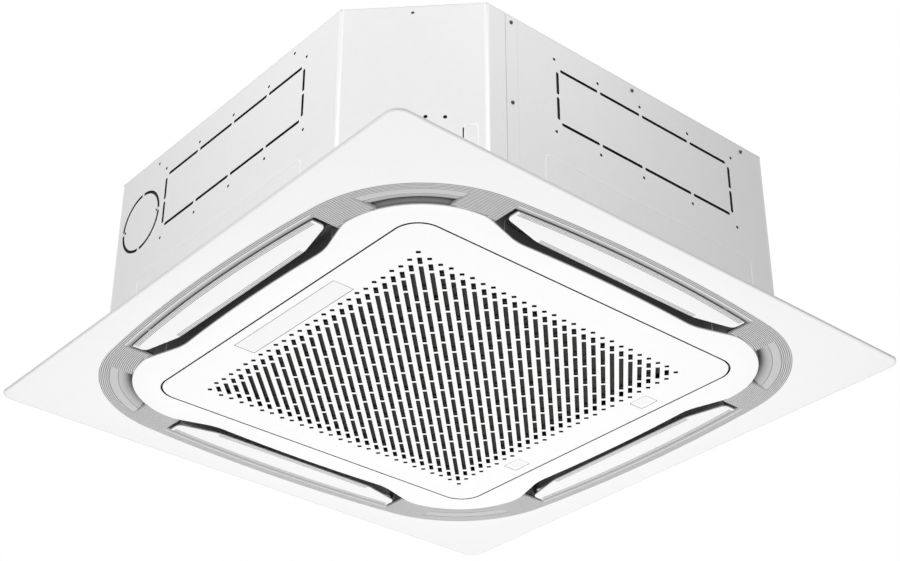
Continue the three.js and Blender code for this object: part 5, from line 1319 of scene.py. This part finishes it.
def make_filter():
    x0, x1, half, z0, z1 = -284, 254, 274, 3.7, 8.7
    outer = rounded_rectangle(x0, x1, -half, half, 6)
    inner = rounded_rectangle(x0 + 10, x1 - 10, -half + 10, half - 10, 4)
    patches = [
        filled([grown(outer, -0.6), inner], z0),
        swept(outer, [(-0.6, z0), (0, z0 + 0.6), (0, z1)]),
        swept(inner, [(0, z0), (0, z1)]),
        filled([outer, inner], z1),
    ]
    for i in range(1, 4):
        middle = x0 + (x1 - x0) * i / 4
        patches.append(box_patch(middle - 2, middle + 2, -half + 8, half - 8, z0, z1))
    patches.append(box_patch(x0 + 8, x1 - 8, -half + 8, half - 8, z0 + 1.5, z0 + 1.8))
    net = [[(at, -half + 9), (at, half - 9)] for at in range(x0 + 14, x1 - 12, 5)]
    net += [[(x0 + 9, at), (x1 - 9, at)] for at in range(-half + 14, half - 12, 5)]
    patches.append(moved(ribs(net, 0.35), z=z0 + 1.45))
    piece_from("dust_filter", patches, FILTER_DARK, "air_filter", "grille")


# ---------- casing ----------

SLIT_HALF, SLIT_R = 2.5, 2.4
BRIDGE_HALF = 2.5


def slit_loops(u0, u1, bridges, z0, z1):
    """The slits around a rectangular knock-out, broken by bridges."""
    def slit(a, b, c, d):
        return rounded_rectangle(a, b, c, d, SLIT_R, 3)

    loops = []
    starts = [u0 + SLIT_HALF + 3] + [u + BRIDGE_HALF for u in bridges]
    ends = [u - BRIDGE_HALF for u in bridges] + [u1 - SLIT_HALF - 3]
    for z in (z0, z1):
        loops += [slit(a, b, z - SLIT_HALF, z + SLIT_HALF) for a, b in zip(starts, ends)]
    middle = (z0 + z1) / 2
    for u in (u0, u1):
        for low, high in ((z0 + 5, middle - BRIDGE_HALF), (middle + BRIDGE_HALF, z1 - 5)):
            loops.append(slit(u - SLIT_HALF, u + SLIT_HALF, low, high))
    return loops


def round_slit_loops(u, z, radius):
    gap = math.degrees(BRIDGE_HALF / radius)
    ends = [(90 * i + gap, 90 * i + 90 - gap) for i in range(4)]
    outer, inner = radius + SLIT_R, radius - SLIT_R
    return [arc(u, z, outer, a, b, 12) + arc(u, z, inner, b, a, 12) for a, b in ends]


def sheet_face(u0, u1, holes, pressed=None):
    """A flat face of the casing in its own plane, with a fine pressed ridge: x along it, y up. Hole
    walls get deep painted shade and the ridge a painted highlight.
    """
    through = [(0, 0), (0, -SHEET_T)]
    foot, head = CASE_Z
    border = [(u0, foot), (u1, foot), (u1, head), (u0, head)]
    patches = [filled([border] + holes, z) for z in (0, -SHEET_T)]
    patches += [shaded(swept(loop, through), DEEP_SHADE) for loop in holes] + [swept(border, through)]
    if pressed:
        ridge = [(0.9, -0.1), (0.65, 0.3), (-0.65, 0.3), (-0.9, -0.1), (0.9, -0.1)]
        patches.append(shaded(swept(pressed, ridge), EDGE_LIGHT))
    return patches


def pressed_outline(u0, u1, z_top, radius=9, steps=5):
    return rounded_rectangle(u0, u1, CASE_Z[0] + 6, z_top, radius, steps)


def standing(origin, along):
    """Places a flat face: its x runs along, its y goes up and its z points outwards."""
    ax, ay = along
    return Matrix(((ax, 0, ay, origin[0]), (ay, 0, -ax, origin[1]), (0, 1, 0, 0), (0, 0, 0, 1)))


def bend_strip(corner, along_in, along_out):
    """The rounded bend between two faces that meet at a corner of the casing's outline, with a painted
    highlight on its outer face near both ends.
    """
    (ix, iy), (ox, oy) = along_in, along_out
    turn = math.atan2(ix * oy - iy * ox, ix * ox + iy * oy)
    back = BEND_R * math.tan(abs(turn) / 2)
    centre = (corner[0] - ix * back - iy * BEND_R, corner[1] - iy * back + ix * BEND_R)
    points, faces, tones = [], [], []
    steps = 6
    for i in range(steps + 1):
        a = turn * i / steps
        nx = iy * math.cos(a) + ix * math.sin(a)
        ny = iy * math.sin(a) - ix * math.cos(a)
        for r in (BEND_R, BEND_R - SHEET_T):
            points += [(centre[0] + nx * r, centre[1] + ny * r, z) for z in CASE_Z]
    for i in range(steps):
        a, b = i * 4, i * 4 + 4
        faces += [(a, b, b + 1, a + 1), (a + 2, a + 3, b + 3, b + 2)]
        faces += [(a, a + 2, b + 2, b), (a + 1, b + 1, b + 3, a + 3)]
        highlight = EDGE_LIGHT if i in (0, steps - 1) else 0.0
        tones += [(highlight,) * 4] + [(0.0,) * 4] * 3
    return points, faces, tones


def small_holes(spots, radius=2.4):
    return [circle(u, z, radius, 12) for u, z in spots]


def side_face_holes():
    """The face that carries the round knock-out; x runs along -Y on the -X side."""
    holes = slit_loops(-146, 195, (-61.5, 24.5, 109.8), 165, 255) + round_slit_loops(-210, 204, 48)
    spots = [(u, z) for z in (269, 146) for u in (-149, -61, 25, 111, 199)]
    return holes + small_holes(spots + [(-171, 289), (170, 292), (-253, 204), (-167, 204)])


def wide_face_holes():
    """The face that ends at the seam; x runs along +X on the -Y side."""
    spots = [(u, z) for z in (270, 148) for u in (-152, -69, 14, 112, 205)]
    return slit_loops(-147, 197, (-67.9, 15, 113), 165, 255) + small_holes(spots)


def corner_face(window=None):
    """A cut corner: three small holes and a pressed arch with a slit beside it."""
    half = CASE_LEG / math.sqrt(2) - BEND_BACK
    holes = small_holes([(-1.3, 292)])
    if window:
        return sheet_face(-half, half, holes + [window])
    holes += small_holes([(17.2, 118), (42.7, 116)], 2.8)
    holes.append(rounded_rectangle(65.2, 67.6, 78, 98, 1.1, 3))
    return sheet_face(-half, half, holes, pressed_outline(67.8, 85.5, 103, 4.5, 6))


def flange_patch():
    """The turned-in foot of a sheet, on the -X half."""
    h, f, s = CASE_HALF, CASE_FLAT, SEAM_AT
    outline = [
        (-h + 0.6, -f), (-f, -h + 0.6), (-s - 1, -h + 0.6),
        (-s - 1, -h + 11), (-f + 8, -h + 11), (-h + 19, -f + 8),
        (-h + 19, f - 8), (-f + 8, h - 19), (s, h - 11),
        (s, h - 0.6), (-f, h - 0.6), (-h + 0.6, f),
    ]
    return plate([without_doubles(outline)], CASE_Z[0], CASE_Z[0] + SHEET_T)


def casing_sheet(window=None):
    """The sheet that wraps the -X side; the other one is the same, turned half round."""
    flat = CASE_FLAT - BEND_BACK
    side = sheet_face(-flat, flat, side_face_holes(), pressed_outline(-201, 197, 101))
    wide = sheet_face(-SEAM_AT, flat, wide_face_holes(), pressed_outline(-174, 228, 102))
    # A thin upright strip with a little painted shade, a faint dark line on the face.
    wide.append(shaded(box_patch(-220.4, -219.6, CASE_Z[0] + 1, CASE_Z[1] - 1, -0.3, 0.1), 0.1))
    mid = (CASE_HALF + CASE_FLAT) / 2
    faces = (
        (side, (-CASE_HALF, 0), (0, -1)),
        (wide, (0, CASE_HALF), (-1, 0)),
        (sheet_face(-flat, -SEAM_AT - 0.8, []), (0, -CASE_HALF), (1, 0)),
        (corner_face(), (-mid, mid), (-ROOT, -ROOT)),
        (corner_face(window), (-mid, -mid), (ROOT, -ROOT)),
    )
    parts = [turned(p, standing(origin, along)) for face, origin, along in faces for p in face]
    walk = [(-1, 0), (-ROOT, -ROOT), (0, -1), (ROOT, -ROOT), (1, 0)]
    half, flat = CASE_HALF, CASE_FLAT
    corners = [(-flat, half), (-half, flat), (-half, -flat), (-flat, -half)]
    parts += [bend_strip(*at) for at in zip(corners, walk, walk[1:])]
    inner = -CASE_HALF + SHEET_T + SEAT
    parts.append(box_patch(-SEAM_AT - 8, -SEAM_AT + 21, inner, inner + SHEET_T, 18.6, CASE_Z[1]))
    return parts + [flange_patch()]


def make_casing():
    window = rounded_rectangle(-44, 44, 201, 255, 4, 4)
    sheets = {"left": casing_sheet(), "right": [about_z(p, 180) for p in casing_sheet(window)]}
    for side, patches in sheets.items():
        node = f"casing_sheet_{side}"
        piece_from(f"casing_wrap_{side}", patches, CASING_COAT, node, smooth=35)


def screw_head():
    """A washer-faced hexagon screw head standing on its seat, with a cross recess."""
    washer = lathe([(0, 0), (2.9, 0), (2.9, 0.4), (2.6, 0.8), (2.3, 1.0)], 20, closed=False)
    head = hexagon(2.3)
    arm = [(1.4, 0.4), (0.4, 0.4), (0.4, 1.4)]
    cross = [p for turn in range(4) for p in quarter_turned(arm, turn)]
    patches = [
        # The cross recess gets deep painted shade; the washer and head are darkened towards the same
        # dark.
        shaded(washer, 0.88),
        shaded(swept(head, [(0, 1.0), (0, 2.0), (-0.3, 2.3)]), 0.88),
        shaded(filled([grown(head, -0.3), cross], 2.3), 0.7),
        shaded(swept(cross, [(0, 2.3), (0, 1.3)]), DEEP_SHADE),
        shaded(filled([cross], 1.3), DEEP_SHADE),
    ]
    return bpy.data.objects.new("screw_head", closed_mesh("screw_head", patches, 0.005))


def make_casing_screws():
    spots = [
        ((u * way, -CASE_HALF * way, z), (0, -way, 0))
        for way in (1, -1) for u, z in ((-231, 292), (-231, 157), (0, 292), (229, 292))
    ]
    mesh = bpy.data.meshes.new("screw_places")
    mesh.from_pydata([Vector(p) * MM for p, _ in spots], [], [])
    facing = mesh.attributes.new("facing", "FLOAT_VECTOR", "POINT")
    for i, (_, direction) in enumerate(spots):
        facing.data[i].vector = direction
    head = screw_head()
    bpy.context.scene.collection.objects.link(head)
    result = made_by(placed_copies_tree, mesh, Part=head)
    bpy.data.objects.remove(head)
    settle("casing_screws", result, BARE_STEEL, smooth=30)


def make_top_plate():
    """The lid: a rim inside the sheets, a pressed bead along its outline and a sunken middle."""
    out = SHEET_T * 2 + 0.6
    outline = octagon(CASE_HALF, CASE_LEG)
    rim = octagon(CASE_HALF - out, CASE_LEG - out * (2 - math.sqrt(2)))
    bead, middle = octagon(330, 110), circle(0, 0, 150, 64)
    z0, z1 = 302.8, 304.0
    patches = [
        filled([grown(outline, -0.4), grown(bead, 6)], z1),
        swept(bead, [(6, z1), (3, z1 - 0.7), (-3, z1 - 0.7), (-6, z1)]),
        filled([grown(bead, -6), grown(middle, 4)], z1),
        swept(middle, [(4, z1), (0, z1 - 0.8)]),
        filled([middle], z1 - 0.8),
        swept(outline, [(-0.4, z1), (0, z1 - 0.4), (0, z0)]),
        filled([outline, rim], z0),
        swept(rim, [(0, z0), (0, 290), (-1.2, 290), (-1.2, z0 - 0.001)]),
        filled([grown(rim, -1.2)], z0 - 0.001),
    ]
    piece_from("casing_top", patches, CASING_COAT, "top_plate", smooth=6)


# ---------- fan, bell mouth and motor ----------

def smooth_line(points, steps=6):
    """A soft curve through the points of a profile."""
    line = []
    for i in range(len(points) - 1):
        beside = points[min(i + 2, len(points) - 1)]
        near = (points[max(i - 1, 0)], points[i], points[i + 1], beside)
        for s in range(steps):
            t = s / steps
            line.append(tuple(
                0.5 * (2 * b + (c - a) * t + (2 * a - 5 * b + 4 * c - d) * t * t
                       + (3 * b - a - 3 * c + d) * t ** 3)
                for a, b, c, d in zip(*near)
            ))
    return line + [points[-1]]


def make_bell_mouth():
    lower = smooth_line([(236, 33.9), (224, 37.7), (208, 51.7), (198.5, 64), (196, 72), (196, 80)])
    upper = smooth_line([(198, 80), (198, 72), (200.5, 65), (209.5, 53.7), (225, 40.2), (236, 36)])
    profile = [(260, 33.7), (240, 33.7)] + lower + upper + [(240, 35.7), (260, 35.7)]
    piece_from("bell", [lathe(profile, 120)], DARK_PLASTIC, "bell_mouth", smooth=50)


SHROUD = ((207, 89), (215, 103.6), (230, 112))


def shroud_line(lift):
    return smooth_line([(204, 70 + lift)] + [(r, z + lift) for r, z in SHROUD], 5)


def fan_blade_mesh():
    """One backward-curved blade between the shroud and the fan's back plate."""
    inner, outer, count = 148, 229, 16
    middle = []
    for i in range(count + 1):
        radius = inner + (outer - inner) * i / count
        angle = math.radians(-38 * (i / count) ** 1.2)
        middle.append((radius * math.cos(angle), radius * math.sin(angle)))

    def side_points(sign):
        points = []
        for i, (x, y) in enumerate(middle):
            bx, by = middle[max(i - 1, 0)]
            ax, ay = middle[min(i + 1, count)]
            dx, dy = ax - bx, ay - by
            taper = math.sqrt(max(0.03, 1 - ((i / count - 0.35) / 0.66) ** 2))
            half = sign * 1.9 * taper / math.hypot(dx, dy)
            points.append((x - dy * half, y + dx * half))
        return points

    rows = []
    for level in (88, 100, 112, 204.6):
        row = []
        for x, y in side_points(-1) + side_points(1)[::-1]:
            radius, top = math.hypot(x, y), level
            roof = level_on([(148, 88), *SHROUD], radius) + 1
            if level == 88:
                top = roof if radius > 205 else 88
            elif level < 150:
                top = max(level, roof)
            row.append((x, y, top))
        rows.append(row)
    points, faces = capped_skin(rows)
    mesh = bpy.data.meshes.new("fan_blade")
    mesh.from_pydata([Vector(p) * MM for p in points], [], faces)
    return mesh


def make_fan():
    back = [(6.3, 150), (52, 150), (58, 151), (62, 156), (84, 190), (90, 198), (97, 203)]
    back += [(104, 204), (230, 204), (230, 206.5), (96, 206.5), (88, 201), (80, 190)]
    back += [(56, 154), (52, 152.5), (6.3, 152.5)]
    blades = arrays_of(made_by(blades_tree, fan_blade_mesh(), Count=7))
    patches = [lathe(shroud_line(0) + shroud_line(2.5)[::-1], 120), lathe(back, 120), blades]
    piece_from("fan_wheel", patches, DARK_PLASTIC, "turbo_fan", "fan", smooth=35)


def make_motor():
    can = [(6.5, 212), (44, 212), (48, 213), (52, 219), (60, 220), (64, 221.5), (66, 225)]
    can += [(66, 284), (84, 284), (84, 287), (6.5, 287)]
    piece_from("motor_can", [lathe(can, 96)], BARE_STEEL, "fan_motor", smooth=30)
    shaft = lathe([(0, 134), (5.2, 134), (6, 134.8), (6, 235), (0, 235)], 32, closed=False)
    piece_from("fan_shaft", [shaft], BARE_STEEL, "motor_shaft", "fan")


# ---------- heat exchanger, pipes and fixings ----------

def make_coil():
    half, corner, depth = 306, 51, 38
    path = [p for p in rounded_square(half, corner) if not (p[0] > 205 and p[1] > 205)]
    start = next(i for i, p in enumerate(path) if p[1] > 300 and p[0] < 206 and path[i - 1][0] > 300)
    path = [(205, half)] + path[start:] + path[:start] + [(half, 205)]
    fins = made_by(
        fins_tree, wires("coil_path", [path], closed=False), Pitch=2.2 * MM, Depth=(depth - 0.4) * MM,
        Height=247.2 * MM, Thickness=0.25 * MM,
    )
    tubes = [
        [(x, y, 62 + row * 24) for x, y in grown(path, off)[1:-1]]
        for row in range(10) for off in (-9.5, 9.5)
    ]
    patches = [moved(arrays_of(fins), z=172.25), ribs(tubes, 3.5)]
    piece_from("finned_coil", patches, ALUMINIUM, "coil", smooth=40)


CORNER_REACH = (2 * CASE_HALF - CASE_LEG) / math.sqrt(2)


def hex_nut(radius):
    """A flare nut: a hexagon with turned ends around its pipe, made about Z."""
    corner = radius * 1.7
    outline = hexagon(corner)
    hole, neck = (circle(0, 0, r, 24) for r in (radius + 0.3, corner * 0.82))
    return joined([
        swept(outline, [(-corner * 0.1, 0), (0, 1.2), (0, 13.5), (-corner * 0.12, 14.6)]),
        filled([grown(outline, -corner * 0.1), hole], 0),
        filled([grown(outline, -corner * 0.12), neck], 14.6),
        swept(neck, [(0, 14.6), (0, 21.4), (-0.6, 22)]),
        filled([grown(neck, -0.6), hole], 22),
        swept(hole, [(0, 0), (0, 22)]),
    ])


def make_pipes():
    z, bend, out = 228, 16, CORNER_REACH + 42
    for kind, y, radius in (("gas", -22, 8), ("liquid", 22, 4.8)):
        start = CORNER_REACH - 60 + radius
        angles = [math.pi / 2 * i / 8 for i in range(1, 9)]
        line = [(start, y, 48.6), (start, y, z - bend)]
        line += [(start + bend - bend * math.cos(a), y, z - bend + bend * math.sin(a)) for a in angles]
        tube = about_z(ribs([line + [(out, y, z)]], radius, sides=28), 45)
        piece_from(f"{kind}_line", [tube], COPPER, f"{kind}_pipe", smooth=50)
        nut = about_z(lying_along_x(hex_nut(radius), out - 20, y, z), 45)
        piece_from(f"{kind}_line_nut", [nut], BRASS, f"{kind}_nut", smooth=30)


def make_drain_socket():
    profile = [(13, -23.7), (16, -23.7), (16, 0.3), (22, 0.3), (22, 3.2), (21.2, 4), (16.6, 4)]
    profile += [(16.6, 20), (17.2, 21), (16.6, 23), (17.2, 24.4), (16.6, 27), (16.6, 38)]
    profile += [(15.6, 40), (13, 40)]
    spout = lying_along_x(lathe(profile, 48), CASE_HALF, 243, 214)
    piece_from("drain_spout", [spout], PUMP_WHITE, "drain_socket", smooth=35)


def make_panel_screws():
    profile = [(0, 9.7), (5.4, 9.7), (6, 10.2), (6, 12.5), (2.5, 12.5), (2.5, 24.4)]
    profile += [(0.6, 26), (0, 26)]
    screw = moved(lathe(profile, 24, closed=False), 336, 336)
    four_pieces("fixing_screw", [screw], BARE_STEEL, "panel_screw")


# ---------- what stays as it was modelled ----------

CARRIED = {
    DARK_PLASTIC: "flap_motor_1 flap_motor_2 flap_motor_3 flap_motor_4 latch_tongue_1 latch_tongue_2 "
                  "pump_impeller float_switch terminal_block",
    BARE_STEEL: "hinge_hanger_1 hinge_hanger_2 closing_plate control_box control_cover",
    FOAM: "top_foam drain_pan",
    INSULATION: "side_foam",
    BRASS: "fan_nut",
    RUBBER_BLACK: "motor_foot_1 motor_foot_2 motor_foot_3 drain_pipe",
    CASING_COAT: "pipe_plate",
    PUMP_WHITE: "drain_pump float_ring",
    BOARD_GREEN: "circuit_board",
}


def dress_carried_nodes():
    for material, names in CARRIED.items():
        for name in names.split():
            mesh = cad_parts[name].data
            if not mesh.materials:
                mesh.materials.append(material)
            for i in range(len(mesh.materials)):
                mesh.materials[i] = material


# ---------- studio ----------

def world_light(strength):
    """Soft light from all around; the camera and reflections see it as plain white."""
    world = bpy.data.worlds.new("studio")
    bpy.context.scene.world = world
    world.use_nodes = True
    tree = world.node_tree
    make = Nodes(tree)
    light = tree.nodes["Background"]
    light.inputs["Color"].default_value = (1, 1, 1, 1)
    light.inputs["Strength"].default_value = strength
    seen = make.add("ShaderNodeBackground", Color=(1, 1, 1, 1), Strength=1.0)
    ray = make.add("ShaderNodeLightPath").outputs
    straight = make.math("MAXIMUM", ray["Is Camera Ray"], ray["Is Transmission Ray"])
    share = make.math("MAXIMUM", straight, ray["Is Glossy Ray"])
    mix = make.add("ShaderNodeMixShader", {0: share, 1: light, 2: seen})
    tree.links.new(mix.outputs[0], tree.nodes["World Output"].inputs["Surface"])


def lamp(name, place, target, size, power):
    data = bpy.data.lights.new(name, "AREA")
    data.shape = "DISK"
    data.size = size
    data.energy = power
    light = bpy.data.objects.new(name, data)
    light.location = place
    light.rotation_euler = (Vector(target) - Vector(place)).to_track_quat("-Z", "Y").to_euler()
    bpy.context.scene.collection.objects.link(light)


def make_floor():
    """A pale floor far below; its underside lets the view from below through."""
    mesh = bpy.data.meshes.new("studio_floor")
    corners = [(-9, -9, -2.8), (9, -9, -2.8), (9, 9, -2.8), (-9, 9, -2.8)]
    mesh.from_pydata(corners, [], [(0, 1, 2, 3)])
    floor = bpy.data.objects.new("studio_floor", mesh)
    bpy.context.scene.collection.objects.link(floor)
    material = bpy.data.materials.new("pale_floor")
    material.use_nodes = True
    tree = material.node_tree
    make = Nodes(tree)
    shader = tree.nodes["Principled BSDF"]
    shader.inputs["Base Color"].default_value = (0.86, 0.86, 0.86, 1)
    shader.inputs["Roughness"].default_value = 0.9
    clear = make.add("ShaderNodeBsdfTransparent")
    back = make.add("ShaderNodeNewGeometry").outputs["Backfacing"]
    mix = make.add("ShaderNodeMixShader", {0: back, 1: shader, 2: clear})
    tree.links.new(mix.outputs[0], tree.nodes["Material Output"].inputs["Surface"])
    mesh.materials.append(material)


def make_camera():
    data = bpy.data.cameras.new("photo_camera")
    data.lens = 72.82
    data.sensor_width = 36
    data.sensor_fit = "HORIZONTAL"
    data.clip_end = 100
    camera = bpy.data.objects.new("photo_camera", data)
    camera.location = (-1.5319, -1.8137, -1.2921)
    aim = Vector((0.5524, 0.6482, 0.5241)).to_track_quat("-Z", "Y").to_matrix()
    roll = Matrix.Rotation(math.radians(0.083), 3, "Z")
    camera.rotation_euler = (aim @ roll).to_euler()
    bpy.context.scene.collection.objects.link(camera)
    bpy.context.scene.camera = camera


def make_studio():
    make_camera()
    make_floor()
    world_light(0.42)
    # name, place, target, size, power
    lamp("below", (0.14, 0.17, -2.55), (0.05, 0.05, 0), 1.6, 49)
    lamp("left_face", (-1.3, -0.32, 0.45), (-0.4, -0.2, 0.15), 0.5, 4.6)
    lamp("right_face", (-0.3, -0.95, 0.4), (-0.2, -0.4, 0.15), 0.4, 1.6)
    lamp("above", (-0.6, 0.4, 3.2), (0, 0, 0.2), 2.6, 30)
    lamp("behind", (2.6, 2.2, 0.6), (0, 0, 0.15), 2.0, 20)
    bpy.context.scene.view_settings.view_transform = "Standard"


for make_part in (
    make_panel, make_ring, make_corner_covers, make_flaps, make_grille, make_window_plate, make_latches,
    make_filter, make_casing, make_casing_screws, make_top_plate, make_bell_mouth, make_fan, make_motor,
    make_coil, make_pipes, make_drain_socket, make_panel_screws, dress_carried_nodes, make_studio,
):
    make_part()
